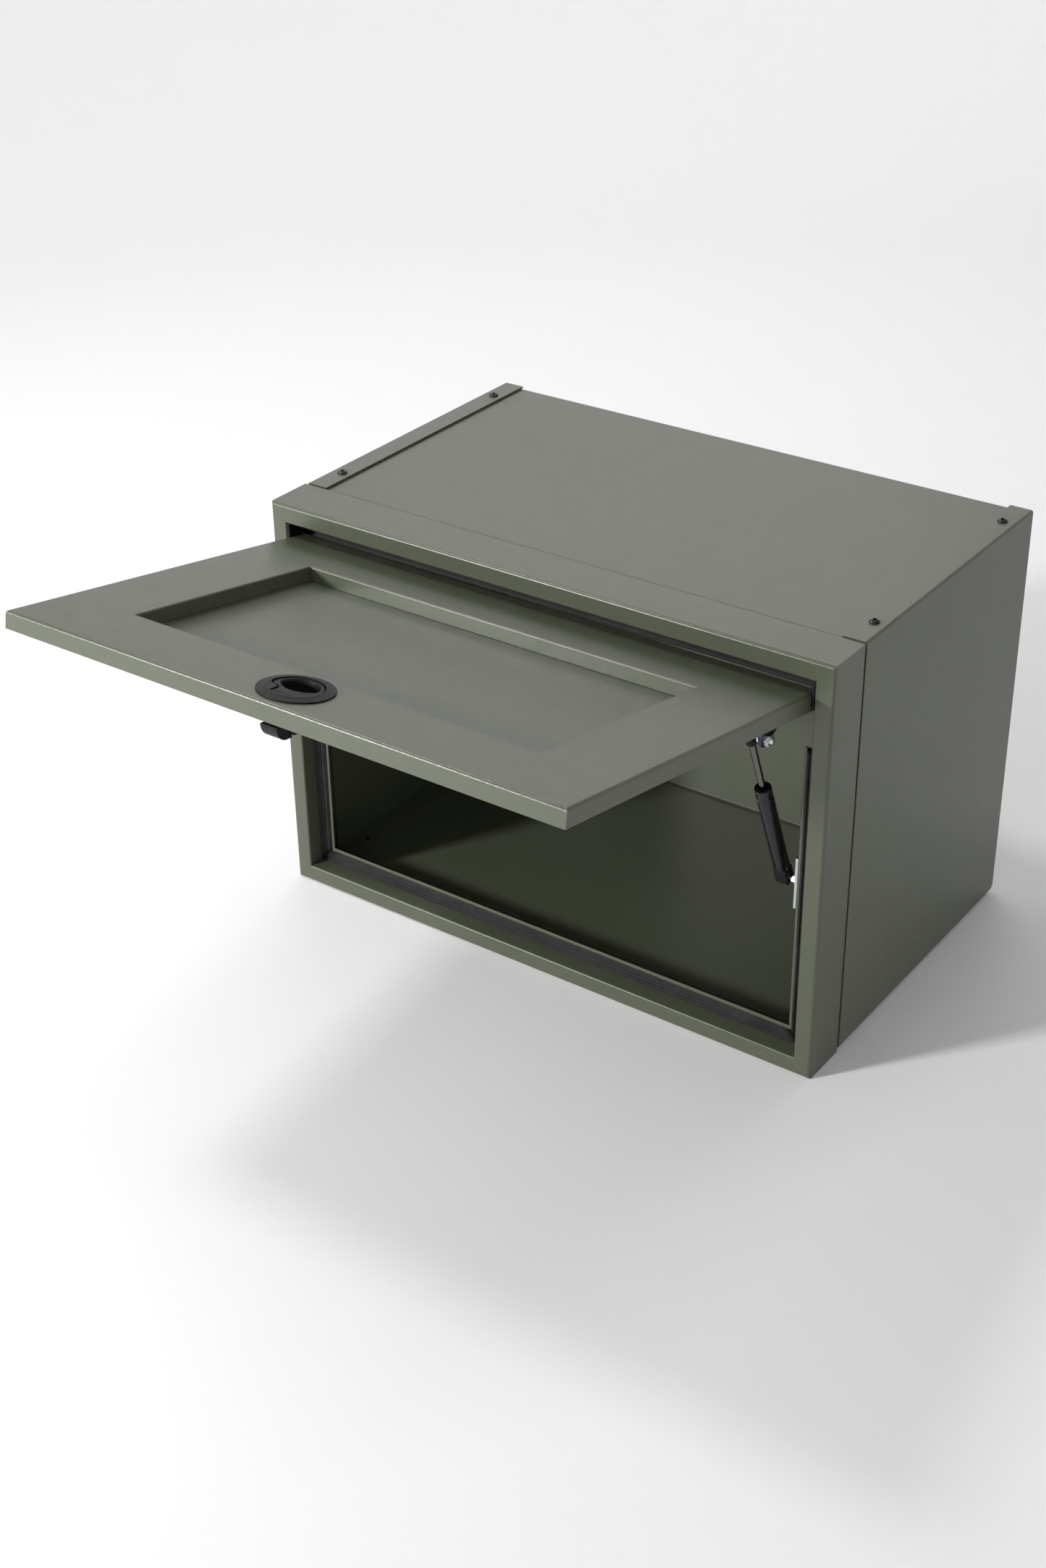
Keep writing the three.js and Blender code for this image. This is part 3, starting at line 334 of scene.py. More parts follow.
def lathe(profile, segments=64):
    """A solid of revolution about z. The profile, (radius, height), runs from the lower end of the axis
    outwards and up to its upper end; one that ends where it starts makes a ring."""
    ring_shaped = profile[0] == profile[-1]
    stations = profile[:-1] if ring_shaped else profile
    vertices, rings = [], []
    for radius, height in stations:
        count = 1 if radius < 1e-6 else segments
        rings.append([len(vertices) + i % count for i in range(segments)])
        for i in range(count):
            angle = 2 * math.pi * i / segments
            vertices.append((radius * math.cos(angle), radius * math.sin(angle), height))
    if ring_shaped:
        rings.append(rings[0])
    faces = []
    for low, high in zip(rings, rings[1:]):
        for i in range(segments):
            after = (i + 1) % segments
            faces.append(list(dict.fromkeys((low[i], low[after], high[after], high[i]))))
    return new_mesh("turned", vertices, faces)


def arc(cx, cy, radius, start, end, steps=6, squash=1.0):
    """Points on an arc, angles in degrees."""
    points = []
    for step in range(steps + 1):
        angle = math.radians(start + (end - start) * step / steps)
        points.append((cx + radius * math.cos(angle), cy + radius * squash * math.sin(angle)))
    return points


def rounded(corners, radius, steps=5):
    """Turns the corners of a closed outline into arcs; radius is one number, or one for each corner."""
    corners = [Vector(corner) for corner in corners]
    radii = radius if isinstance(radius, (list, tuple)) else [radius] * len(corners)
    outline = []
    for i, (corner, r) in enumerate(zip(corners, radii)):
        if r == 0:
            outline.append(corner)
            continue
        back = (corners[i - 1] - corner).normalized()
        ahead = (corners[(i + 1) % len(corners)] - corner).normalized()
        half = back.angle(ahead) / 2
        middle = corner + (back + ahead).normalized() * (r / math.sin(half))
        spoke = corner + back * (r / math.tan(half)) - middle
        turn = -math.copysign(math.pi - 2 * half, back.x * ahead.y - back.y * ahead.x)
        for step in range(steps + 1):
            outline.append(middle + Matrix.Rotation(turn * step / steps, 2) @ spoke)
    return outline


def bezier(a, b, c, d, steps=10):
    """Points after a, up to and including d."""
    points = []
    for step in range(1, steps + 1):
        t = step / steps
        weights = ((1 - t) ** 3, 3 * t * (1 - t) ** 2, 3 * t * t * (1 - t), t ** 3)
        points.append(tuple(sum(w * p[i] for w, p in zip(weights, (a, b, c, d))) for i in (0, 1)))
    return points


def inset(outline, distance):
    """The outline moved inwards; it runs counter-clockwise."""
    least_lean = 0.35  # keeps the point of a sharp corner from running away
    points = [Vector(point) for point in outline]
    moved = []
    for i, point in enumerate(points):
        before = (point - points[i - 1]).normalized()
        after = (points[(i + 1) % len(points)] - point).normalized()
        middle = Vector((-before.y - after.y, before.x + after.x)).normalized()
        lean = max(least_lean, middle.dot(Vector((-after.y, after.x))))
        moved.append(point + middle * (distance / lean))
    return moved


def loft(loops):
    """Skins a stack of loops, lists of 3-D points of equal length, and caps both ends."""
    count = len(loops[0])
    faces = [tuple(reversed(range(count)))]
    for k in range(len(loops) - 1):
        for i in range(count):
            a, b = k * count + i, k * count + (i + 1) % count
            faces.append((a, b, b + count, a + count))
    faces.append(tuple(range((len(loops) - 1) * count, len(loops) * count)))
    return new_mesh("loft", [point for loop in loops for point in loop], faces)


def slab(outline, low, high, edge=0.4, steps=3):
    """A plate of the outline from height low to high, with rounded edges."""
    levels = []
    for step in range(steps + 1 if edge else 1):
        angle = math.pi / 2 * step / steps
        levels.append((edge * (1 - math.sin(angle)), low + edge * (1 - math.cos(angle))))
    levels += [(gap, low + high - height) for gap, height in reversed(levels)]
    loops = []
    for gap, height in levels:
        loops.append([(p[0], p[1], height) for p in (inset(outline, gap) if gap else outline)])
    return loft(loops)


def block(x0, x1, y0, y1, z0, z1, edge=0.4, corner=None):
    """A box with rounded edges; corner is the radius of its upright edges, where it differs."""
    corner = edge if corner is None else corner
    outline = [(x0, y0), (x1, y0), (x1, y1), (x0, y1)]
    return slab(rounded(outline, corner) if corner else outline, z0, z1, edge)


def round_bar(start, end, radius, segments=48, edge=0.0):
    """A round bar along z, with chamfered ends where edge is given."""
    if edge:
        profile = [(0, start), (radius - edge, start), (radius, start + edge),
                   (radius, end - edge), (radius - edge, end), (0, end)]
    else:
        profile = [(0, start), (radius, start), (radius, end), (0, end)]
    return lathe(profile, segments)


def hexagon(radius):
    """Six corners, the first on the x axis."""
    return arc(0, 0, radius, 0, 300, 5)


def combine(base, others, operation):
    """Joins, cuts or intersects closed meshes."""
    holder = bpy.data.objects.new("holder", base)
    tools = [bpy.data.objects.new("tool", other) for other in others]
    for obj in (holder, *tools):
        bpy.context.scene.collection.objects.link(obj)
    for tool in tools:
        step = holder.modifiers.new("step", "BOOLEAN")
        step.operation = operation
        step.object = tool
        step.solver = "EXACT"
    graph = bpy.context.evaluated_depsgraph_get()
    result = bpy.data.meshes.new_from_object(holder.evaluated_get(graph), depsgraph=graph)
    for obj in (holder, *tools):
        bpy.data.objects.remove(obj)
    return result


def carve(base, *cutters):
    return combine(base, cutters, "DIFFERENCE")


def unite(base, *others):
    return combine(base, others, "UNION")


def show(name, mesh, place, *replaced, edge=0.0, material=None):
    """Puts a mesh drawn in millimetres into the scene in place of the CAD nodes it stands for."""
    mesh = mesh.copy()
    mesh.name = name
    mesh.transform(place @ TO_METRES)
    obj = bpy.data.objects.new(name, mesh)
    bpy.context.scene.collection.objects.link(obj)
    slot = NODE_SLOTS[replaced[0]]
    dress(obj, material or SLOT_MATERIALS[slot], edge * MM)
    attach(obj, BODY_OF[replaced[0]])
    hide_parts(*replaced)
    return obj


def threads(radius, start, end, pitch=0.8, depth=0.28):
    """Profile points of a threaded length, as close rings with flat crests."""
    crest_start, crest_end = pitch * 0.4, pitch * 0.6
    points = []
    height = start
    while height + pitch < end:
        points += [(radius - depth, height), (radius, height + crest_start), (radius, height + crest_end)]
        height += pitch
    return points + [(radius - depth, height), (radius - depth, end)]


# ---- fasteners: each is drawn along z ----
M5 = 2.4  # radius over the thread
M5_TIP = 1.9
SEAT = 0.3  # height of a head's underside
HEX_SOCKET = 1.75  # corner radius
SMALL_SOCKET = 1.5
BUTTON_TOP = 2.75
FOOT_FACE = 0.2
RIVET_TOP = 6.5
PAN_SCREW_Y = 18.8  # place of the pan screws' origin in the door frame
SCREW_EDGE = 0.12
NUT_EDGE = 0.1


def button_screw():
    """A screw with a domed head and a hexagon socket."""
    tip, head, rise, last_angle = -6.4, 4.75, 2, 65
    brim = BUTTON_TOP - rise
    dish = BUTTON_TOP - 0.15
    dome = arc(0, brim, head, 0, last_angle, 13, squash=rise / head / math.sin(math.radians(last_angle)))
    profile = [(0, tip), (M5_TIP, tip), *threads(M5, tip + 0.5, -1), (M5, SEAT), (head - 0.2, SEAT),
               (head, SEAT + 0.2), *dome, (1.85, dish), (0, dish)]
    return carve(lathe(profile), slab(hexagon(HEX_SOCKET), BUTTON_TOP - 1.6, BUTTON_TOP + 1.25, 0))


def foot_screw():
    """A countersunk screw with its head down."""
    head, neck, tip = 4.2, 1.95, 5.4
    profile = [(0, FOOT_FACE), (head - 0.1, FOOT_FACE), (head, FOOT_FACE + 0.1), (head, FOOT_FACE + 0.25),
               (M5, neck), *threads(M5, neck + 0.25, tip - 0.4), (M5_TIP, tip), (0, tip)]
    return carve(lathe(profile), slab(hexagon(HEX_SOCKET), -1, FOOT_FACE + 1.4, 0))


def blind_rivet():
    """A rivet whose domed head has the broken mandrel's dimple in it."""
    shank, head, start = 2, 4, 0.2
    seat = RIVET_TOP - 1.6
    dome = arc(0, seat + 0.4, head, 0, 72, 8, squash=0.3)
    dimple = [(1.1, RIVET_TOP - 0.05), (1, RIVET_TOP - 0.5), (0.9, RIVET_TOP - 0.6), (0, RIVET_TOP - 0.4)]
    return lathe([(0, start), (shank - 0.2, start), (shank, start + 0.2), (shank, seat), (head - 0.1, seat),
                  (head, seat + 0.1), *dome, *dimple])


def pan_screw():
    """A screw with a low head and a hexagon socket."""
    tip, head, brim, dish = -6, 4.2, 0.8, 2.15
    dome = arc(0, brim, head, 0, 66, 8, squash=0.36)
    profile = [(0, tip), (M5_TIP, tip), *threads(M5, tip + 0.4, -1), (M5, SEAT), (head - 0.2, SEAT),
               (head, SEAT + 0.2), *dome, (1.6, dish), (0, dish)]
    return carve(lathe(profile), slab(hexagon(SMALL_SOCKET), brim + 0.1, 4, 0))


def hex_nut(radius, thick, bore):
    """A chamfered nut centred on the origin, its axis along z."""
    half = thick / 2
    chamfer = 0.45
    flat, wide, mouth = radius * 0.9, radius + 0.1, bore + 1.4
    disc = lathe([(0, -half), (flat, -half), (wide, -half + chamfer), (wide, half - chamfer), (flat, half),
                  (0, half)])
    nut = combine(slab(hexagon(radius), -half - 1, half + 1, 0), [disc], "INTERSECT")
    hole = lathe([(0, -half - 1), (mouth, -half - 1), (bore, -half + 0.4), (bore, half - 0.4),
                  (mouth, half + 1), (0, half + 1)])
    return carve(nut, hole)


def make_fasteners():
    screw, foot, rivet, pan = button_screw(), foot_screw(), blind_rivet(), pan_screw()
    for side in ("left", "right"):
        for row in ("front", "rear"):
            node = f"top_screw_{row}_{side}"
            spot = centre(node)
            spot.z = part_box(node)[1].z - BUTTON_TOP * MM
            show(f"button_screw_{row}_{side}", screw, Matrix.Translation(spot), node, edge=SCREW_EDGE)
            node = f"bottom_screw_{row}_{side}"
            spot = centre(node)
            spot.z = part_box(node)[0].z - FOOT_FACE * MM
            show(f"foot_screw_{row}_{side}", foot, Matrix.Translation(spot), node, edge=SCREW_EDGE)
        for row in ("low", "high"):
            node = f"back_rivet_{row}_{side}"
            spot = centre(node)
            spot.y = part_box(node)[1].y - RIVET_TOP * MM
            show(f"blind_rivet_{row}_{side}", rivet, Matrix.Translation(spot) @ Z_TO_Y, node)
    for row in ("upper", "lower"):
        node = f"upper_bracket_screw_{row}"
        spot = local_centre(node, DOOR)
        spot.y = PAN_SCREW_Y
        place = DOOR @ Matrix.Translation(spot * MM) @ Z_TO_Y
        show(f"bracket_screw_{row}", pan, place, node, edge=SCREW_EDGE)
    small_nut = hex_nut(radius=4.6, thick=4, bore=2.8)
    for row in ("low", "high"):
        node = f"lower_bracket_nut_{row}"
        show(f"bracket_nut_{row}", small_nut, Matrix.Translation(centre(node)) @ Z_TO_X, node, edge=NUT_EDGE)
    node = "lower_ball_nut"
    ball_nut = hex_nut(radius=5.6, thick=4.5, bore=3.3)
    show("foot_ball_nut", ball_nut, Matrix.Translation(centre(node)) @ Z_TO_X, node, edge=NUT_EDGE)


make_fasteners()


# ---- gas strut: drawn along z from the centre of the foot's ball ----
BALL = 4.0
STUD = 3.0
POCKET = 4.3
TUBE_R = 7.5
TUBE_START, TUBE_END = 13.5, 122
CRIMP = 110.5  # height of the groove that holds the gland
BORE_R = 6.0
BORE_START = 25.5
NECK_R = 2.5
ROD_R = 3.0
ROD_END = STRUT_REACH - 12
PISTON_R = 6.0
PISTON_DROP = 9  # from the rod's lower end to the piston's lower face
STUD_EDGE = 0.08
SOCKET_EDGE = 0.25


def ball_stud(collar, collar_end, end):
    """A ball at the origin on a stud along z, with a hexagonal collar."""
    neck, flats = 2.2, 5
    start = math.degrees(math.asin(neck / BALL))
    ball = arc(0, 0, BALL, -90, 90 - start, 20)
    hidden = 0.4  # how far the shank's steps lie from the collar's faces
    foot = collar_end + hidden
    profile = [(0, -BALL), *ball[1:], (neck, collar + hidden), (STUD, collar + hidden), (STUD, foot),
               *threads(STUD, foot, end - 0.3, depth=0.2), (STUD - 0.7, end), (0, end)]
    disc = lathe([(0, collar), (flats - 0.5, collar), (flats + 0.1, collar + 0.4), (flats + 0.1, collar_end),
                  (0, collar_end)])
    hexed = combine(slab(hexagon(flats), collar - 1, collar_end + 1, 0), [disc], "INTERSECT")
    return unite(lathe(profile), hexed)


def strut_tube():
    """The cylinder, with rounded ends, a crimped groove and a hole in its foot for the socket's neck."""
    curl = 1.2
    crimp = [(TUBE_R, 1.9), (TUBE_R - 0.2, 1.3), (TUBE_R - 0.6, 0.9), (TUBE_R - 0.8, 0.3)]
    groove = [(radius, CRIMP - away) for radius, away in crimp]
    groove += [(radius, CRIMP + away) for radius, away in reversed(crimp)]
    profile = [(0, TUBE_START), (TUBE_R - curl, TUBE_START),
               *arc(TUBE_R - curl, TUBE_START + curl, curl, -90, 0), *groove,
               *arc(TUBE_R - curl, TUBE_END - curl, curl, 0, 90), (BORE_R + 0.1, TUBE_END - 0.1),
               (BORE_R, TUBE_END - 0.4), (BORE_R, BORE_START), (0, BORE_START)]
    return carve(lathe(profile, 96), round_bar(10, 24, NECK_R + 0.3))


def strut_gland():
    """The rod's guide ring, with a lip about the rod."""
    bore, wall, start, top = 3.3, 5.7, 113, 121.4
    return lathe([(bore, start), (wall, start), (wall, top - 0.8), (wall - 0.2, top - 0.3), (wall - 0.7, top),
                  (bore + 1, top), (bore + 0.7, top - 0.4), (bore + 0.5, top - 1.1), (bore, top - 1.4),
                  (bore, start)])


def strut_piston(start):
    """The piston with a groove for its ring, upwards from start."""
    chamfer, length = 0.4, 8.7
    rim, groove = PISTON_R - chamfer, PISTON_R - 0.7
    profile = [(0, 0), (rim, 0), (PISTON_R, chamfer), (PISTON_R, 2.8), (groove, 3.2), (groove, 5.4),
               (PISTON_R, 5.8), (PISTON_R, length - chamfer), (rim, length), (0, length)]
    return lathe([(radius, start + height) for radius, height in profile])


def ball_socket(outline, half_width, neck):
    """A socket: an eye across the strut with a neck, and a room for the ball that is open at one side."""
    eye = placed(slab(outline, -half_width, half_width, 0.9, 4), Z_TO_X)
    mouth, out = 3.4, 20
    room = lathe([(0, -POCKET), *arc(0, 0, POCKET, -90, 52, 14)[1:], (mouth, 4.2), (mouth, out), (0, out)])
    return carve(unite(eye, neck), placed(room, Z_TO_X))


def foot_socket():
    half, shoulder = 6, 13
    corners = [(-half, -half), (half, -half), (half, shoulder), (-half, shoulder)]
    return ball_socket(rounded(corners, [2.2, 2.2, 1.2, 1.2]), 6.4, round_bar(12, 22, NECK_R))


def head_socket():
    neck = lathe([(0, -11.7), (3.9, -11.7), (5, -10.6), (5, -3), (0, -3)])
    return ball_socket(arc(0, 0, 6, 0, 352.5, 47), 5.5, neck)


def upper_ball_nut():
    """The nut at the door's bracket with the end of its stud, upwards from the stud's end."""
    tip, end = 0.3, 10
    stud = lathe([(0, 0), (STUD - tip, 0), (STUD, tip), *threads(STUD, 2.5, end - 0.7), (2.2, end), (0, end)])
    return unite(placed(hex_nut(radius=5.6, thick=5, bore=2.7), shift(0, 0, 4.8)), stud)


def gas_strut():
    foot = Matrix.Translation(STRUT.translation) @ Z_TO_X
    head = STRUT @ Matrix.Translation((0, 0, STRUT_REACH * MM))
    gap = (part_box("strut_lower_bracket")[0].x - STRUT.translation.x) / MM  # from the ball to its plate
    foot_stud = ball_stud(collar=9.6, collar_end=gap - 0.3, end=gap + 10)
    show("foot_ball_stud", foot_stud, foot, "strut_lower_ball_stud", edge=STUD_EDGE)
    head_stud = ball_stud(collar=9.2, collar_end=11.5, end=12.2)
    show("head_ball_stud", head_stud, head @ Z_TO_X, "strut_upper_ball_stud", edge=STUD_EDGE)
    show("strut_cylinder_tube", strut_tube(), STRUT, "strut_tube")
    show("strut_gland", strut_gland(), STRUT, "strut_rod_guide")
    rod_low = local_centre("strut_rod", STRUT).z * 2 - ROD_END
    rod = round_bar(rod_low, ROD_END, ROD_R, 64, 0.3)
    # the rod takes the darkened steel, a painted dark reflection
    show("strut_polished_rod", rod, STRUT, "strut_rod", material=ROD_STEEL_DARKENED_FOR_REFLECTION)
    show("strut_piston_head", strut_piston(rod_low - PISTON_DROP), STRUT, "strut_piston")
    show("strut_foot_socket", foot_socket(), STRUT, "strut_lower_socket", edge=SOCKET_EDGE)
    show("strut_head_socket", head_socket(), head, "strut_upper_socket", edge=SOCKET_EDGE)
    node = "upper_ball_nut"
    spot = centre(node)
    spot.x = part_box(node)[0].x
    show("bracket_hex_nut", upper_ball_nut(), Matrix.Translation(spot) @ Z_TO_X, node, edge=NUT_EDGE)


gas_strut()


# ---- brackets and hinge blocks ----
def bent_strip(path, thick, bend):
    """The outline of a bent plate about a centre line of right-angled bends."""
    tip = 0.5  # corner radius at the plate's ends
    corners = [Vector(point) for point in path]
    ways = [(b - a).normalized() for a, b in zip(corners, corners[1:])]
    left, right = [], []
    radii_left, radii_right = [tip], [tip]
    for i, corner in enumerate(corners):
        before = ways[max(i - 1, 0)]
        after = ways[min(i, len(ways) - 1)]
        normal = Vector((-before.y, before.x))
        if 0 < i < len(ways):
            normal += Vector((-after.y, after.x))
            turns_left = before.x * after.y - before.y * after.x > 0
            radii_left.append(bend - thick / 2 if turns_left else bend + thick / 2)
            radii_right.append(bend + thick / 2 if turns_left else bend - thick / 2)
        left.append(corner + normal * thick / 2)
        right.append(corner - normal * thick / 2)
    radii_left.append(tip)
    radii_right.append(tip)
    return rounded(right + left[::-1], radii_right + radii_left[::-1])


def strut_foot_bracket(node):
    """The bent plate that carries the strut's foot, with its three holes."""
    low, high = (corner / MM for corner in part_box(node))
    thick, foot_length, bend = 3, 24, 2.4
    near, far, step = low.x + thick / 2, high.x - thick / 2, low.y + foot_length - thick / 2
    path = [(near, low.y), (near, step), (far, step), (far, high.y)]
    plate = slab(bent_strip(path, thick, bend), low.z, high.z, 0.35)
    holes = []
    for nut in ("lower_bracket_nut_low", "lower_bracket_nut_high"):
        spot = centre(nut) / MM
        holes.append(placed(round_bar(high.x - 6, high.x + 1, 2.8), shift(0, spot.y, spot.z) @ Z_TO_X))
    foot = STRUT.translation / MM
    holes.append(placed(round_bar(low.x - 1, low.x + 5, 3.3), shift(0, foot.y, foot.z) @ Z_TO_X))
    return carve(plate, *holes)


def hinge_block(node):
    """A nylon block with rounded corners and the pin's hole."""
    low, high = (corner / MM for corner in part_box(node))
    corners = [(low.y, low.z), (high.y, low.z), (high.y, high.z), (low.y, high.z)]
    outline = rounded(corners, [2.5, 4, 1.5, 1.5])
    body = placed(slab(outline, low.x, high.x), Z_TO_X)
    hinge = hinge_spot / MM
    return carve(body, placed(round_bar(low.x - 1, high.x + 1, 2.3), shift(0, hinge.y, hinge.z) @ Z_TO_X))


def brackets():
    node = "strut_lower_bracket"
    show("strut_foot_bracket", strut_foot_bracket(node), Matrix.Identity(4), node, edge=0.25)
    for side in ("left", "right"):
        node = f"{side}_hinge_block"
        show(f"{side}_pivot_block", hinge_block(node), Matrix.Identity(4), node, edge=0.2)


brackets()


# ---- rubber seals ----
MITRED = {  # whether a seal is mitred at its start and at its end
    "right_seal": (1, 0),
    "left_seal": (1, 0),
    "bottom_seal": (1, 1),
    "top_seal": (0, 0),
}


def seal_profile(width, thick):
    """Across the width from the outer edge, and out from the base: three round ribs on a thin base."""
    base, pitch = 1, width / 3
    rib, rib_root, rib_foot, rib_squash = 1.1, 1.3, 1.55, 0.68
    section = [(0, 0.15), (0.15, 0), (width - 0.15, 0), (width, 0.15), (width, base - 0.2),
               (width - 0.2, base)]
    for row in (2, 1, 0):
        middle = (row + 0.5) * pitch
        section += [(middle + rib_foot, base), (middle + rib_root, base + 0.25)]
        section += arc(middle, thick - 0.75, rib, 0, 180, 8, rib_squash)
        section += [(middle - rib_root, base + 0.25), (middle - rib_foot, base)]
    return section + [(0.2, base), (0, base - 0.2)]


def turn_outwards(mesh):
    shape = bmesh.new()
    shape.from_mesh(mesh)
    bmesh.ops.recalc_face_normals(shape, faces=shape.faces)
    shape.to_mesh(mesh)
    shape.free()


def seal_strip(node):
    """A ribbed strip in its CAD node's box, its base at the back."""
    low, high = (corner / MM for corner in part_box(node))
    upright = node in ("right_seal", "left_seal")
    start, end = (low.z, high.z) if upright else (low.x, high.x)
    section = seal_profile(high.x - low.x if upright else high.z - low.z, high.y - low.y)
    start_mitre, end_mitre = MITRED[node]
    loops = []
    for span in (0, 0.02, 0.25, 0.5, 0.75, 0.98, 1):
        loop = []
        for width, out in section:
            along = (start + start_mitre * width) * (1 - span) + (end - end_mitre * width) * span
            y = high.y - out
            if node == "right_seal":
                loop.append((high.x - width, y, along))
            elif node == "left_seal":
                loop.append((low.x + width, y, along))
            else:
                loop.append((along, y, low.z + width))
        loops.append(loop)
    mesh = loft(loops)
    turn_outwards(mesh)
    return mesh


def seals():
    for node in MITRED:
        show(f"ribbed_{node}", seal_strip(node), Matrix.Identity(4), node)


seals()


# ---- slam latch: y towards the hinge, z out of the door's face ----
STEM_HALF = 9.3
RING_R = 22.0
RING_Y = 0.5
RING_GAP = 0.9
FLARE_START, FLARE_NEAR, FLARE_FAR = -11, -5, -8
BEZEL_R = 31.5
BEZEL_RISE = 2.8
DIAL_R = 24.0
BARREL_R = 24.5
BARREL_FOOT = -19.5
FINGER_R, FINGER_Y, FINGER_PEAK = 17.0, 3.0, -6.5
KNUCKLE_R = 3.0
KNUCKLE_ROOM = 3.7
PIN_HOLE = 1.3
TAIL_ROOM = 3.7  # half the width of the slots for the pull's tail
ON_PIN = shift(0, PIN.y, PIN.z) @ Z_TO_X


def pull_outline(grow):
    """The pull: a stem towards the free edge that flares into a round ring."""
    stem, ring, drop = STEM_HALF + grow, RING_R + grow, 1.5 * grow
    end = PIN.y - grow
    start, near, far = FLARE_START - drop, FLARE_NEAR - drop, FLARE_FAR - drop
    right_flare = bezier((stem, start), (stem + 0.4, near), (ring, far), (ring, RING_Y), 14)
    left_flare = bezier((-ring, RING_Y), (-ring, far), (-stem - 0.4, near), (-stem, start), 14)
    head = arc(0, RING_Y, ring, 0, 180, 48)
    return [(stem, end), (stem, start), *right_flare, *head[1:], *left_flare, (-stem, end)]


def finger_outline(grow):
    """The finger hole: a half disc towards the hinge with a low peak towards the stem."""
    radius, peak = FINGER_R + grow, FINGER_PEAK - grow
    low = -2 - grow
    left = bezier((-radius, FINGER_Y), (-radius * 0.9, low), (-5, peak), (0, peak), 14)
    right = bezier((0, peak), (5, peak), (radius * 0.9, low), (radius, FINGER_Y), 14)
    return [*arc(0, FINGER_Y, radius, 0, 180, 40), *left, *right[:-1]]


def level(outline, height):
    return [(p[0], p[1], height) for p in outline]


def shrunk(outline, share):
    """The outline scaled about a point inside the finger hole."""
    middle = Vector((0, 6))
    return [middle + (Vector(p) - middle) * share for p in outline]


def housing_body():
    """The bezel on its barrel: a rounded rim, a shallow cone and a flat dial."""
    rim = [(BEZEL_R - 0.25, 0.3), (BEZEL_R, 0.5), *arc(BEZEL_R - 0.5, 0.9, 0.5, 0, 62, 4)]
    profile = [(0, BARREL_FOOT), (BARREL_R - 0.6, BARREL_FOOT), (BARREL_R, BARREL_FOOT + 0.6),
               (BARREL_R, 0.3), *rim, (DIAL_R + 0.55, BEZEL_RISE - 0.32),
               (DIAL_R + 0.25, BEZEL_RISE - 0.05), (DIAL_R, BEZEL_RISE), (0, BEZEL_RISE)]
    off_corners = math.radians(1.1)  # keeps the facets off the cutters' corners
    return placed(lathe(profile, 128), Matrix.Rotation(off_corners, 4, "Z"))


def finger_well():
    """The bowl behind the finger hole."""
    top = finger_outline(1)
    bowl = [(0.45, -14.0), (0.62, -13.7), (0.76, -12.9), (0.87, -11.4), (0.94, -9.4), (0.98, -6.8),
            (1, -4.2), (1, 0)]
    return loft([level(shrunk(top, share), height) for share, height in bowl])


def pin_bore():
    """The hole for the pin, with a wider room for the spring near its right end."""
    end, room, room_start, room_end = 13.4, 2.8, 9.8, 13.2
    profile = [(0, -end), (PIN_HOLE, -end), (PIN_HOLE, room_start), (room, room_start), (room, room_end),
               (PIN_HOLE, room_end), (PIN_HOLE, end), (0, end)]
    return placed(lathe(profile), ON_PIN)


def latch_housing():
    pocket = slab(pull_outline(RING_GAP), -3.4, BEZEL_RISE + 2, 0)
    half = STEM_HALF + RING_GAP + 0.03  # clear of the pocket's own sides
    knuckle = placed(round_bar(-half, half, KNUCKLE_ROOM), ON_PIN)
    mouth = block(-half - 0.03, half + 0.03, PIN.y - KNUCKLE_ROOM + 0.02, PIN.y, PIN.z, BEZEL_RISE + 3, 0)
    slot = block(-TAIL_ROOM, TAIL_ROOM, -20, 0, -21, -2, 0)
    return carve(housing_body(), pocket, finger_well(), knuckle, mouth, slot, pin_bore())


def pull_ring():
    """The pull with its flared finger hole, the knuckle about the pin and the tail that works the bolt."""
    plate = slab(pull_outline(0), -2.4, 2.2, 1.3, 5)
    flare = [(0, -4), (0, 0.2), (0.15, 0.8), (0.55, 1.5), (1.2, 2.05), (2.2, 2.45), (3.4, 2.7)]
    hole = loft([level(finger_outline(grow), height) for grow, height in flare])
    knuckle = placed(round_bar(-STEM_HALF, STEM_HALF, KNUCKLE_R, edge=0.4), ON_PIN)
    tail = block(-3, 3, PIN.y - 1.6, PIN.y + 1, -24.2, PIN.z, 0.3)
    bore = placed(round_bar(-STEM_HALF - 1, STEM_HALF + 1, PIN_HOLE), ON_PIN)
    return carve(unite(carve(plate, hole), knuckle, tail), bore)


def latch_bolt():
    """A sliding bar with a hooked nose at its front end; the tail's slot goes down into it."""
    top, foot, underside = -21.8, -34.0, -28.8
    front, back, hook = -30.5, 15, -13
    nose = bezier((-18, foot), (-23.5, foot), (-28.6, foot + 4.2), (front, -23.4), 14)
    side = [(back, top), (front, top), *reversed(nose), (-18, foot), (hook - 0.6, foot + 0.2),
            (hook, foot + 0.8), (hook, underside), (back, underside)]
    body = placed(slab(side, -9.5, 9.5, 0.45), Z_TO_X)
    slot = block(-TAIL_ROOM, TAIL_ROOM, PIN.y - 2.9, PIN.y + 1.4, -25.2, top + 1, 0, 0.6)
    cheeks = [block(x, x + 3.6, -34, -13.4, -36, top + 1, 0) for x in (-12, 8.4)]
    return carve(body, slot, *cheeks)


def retaining_ring():
    """The notched ring behind the door, with a flat beside the bolt."""
    high = -16.3
    low = high - 2.5
    bore, rim, chamfer = 24.8, 29, 0.5
    ring = lathe([(bore, high), (bore, low + 0.3), (bore + 0.3, low), (rim - chamfer, low),
                  (rim, low + chamfer), (rim, high - 0.2), (rim - 0.2, high), (bore, high)], 128)
    notches = []
    for i in range(6):
        turn = Matrix.Rotation(math.radians(60 * i + 30), 4, "Z")
        notches.append(placed(block(27.2, 32, -3, 3, low - 1, high + 1, 0, 0.6), turn))
    flat = block(-32, 32, -34, -26.2, low - 1, high + 1, 0)
    return carve(ring, flat, *notches)


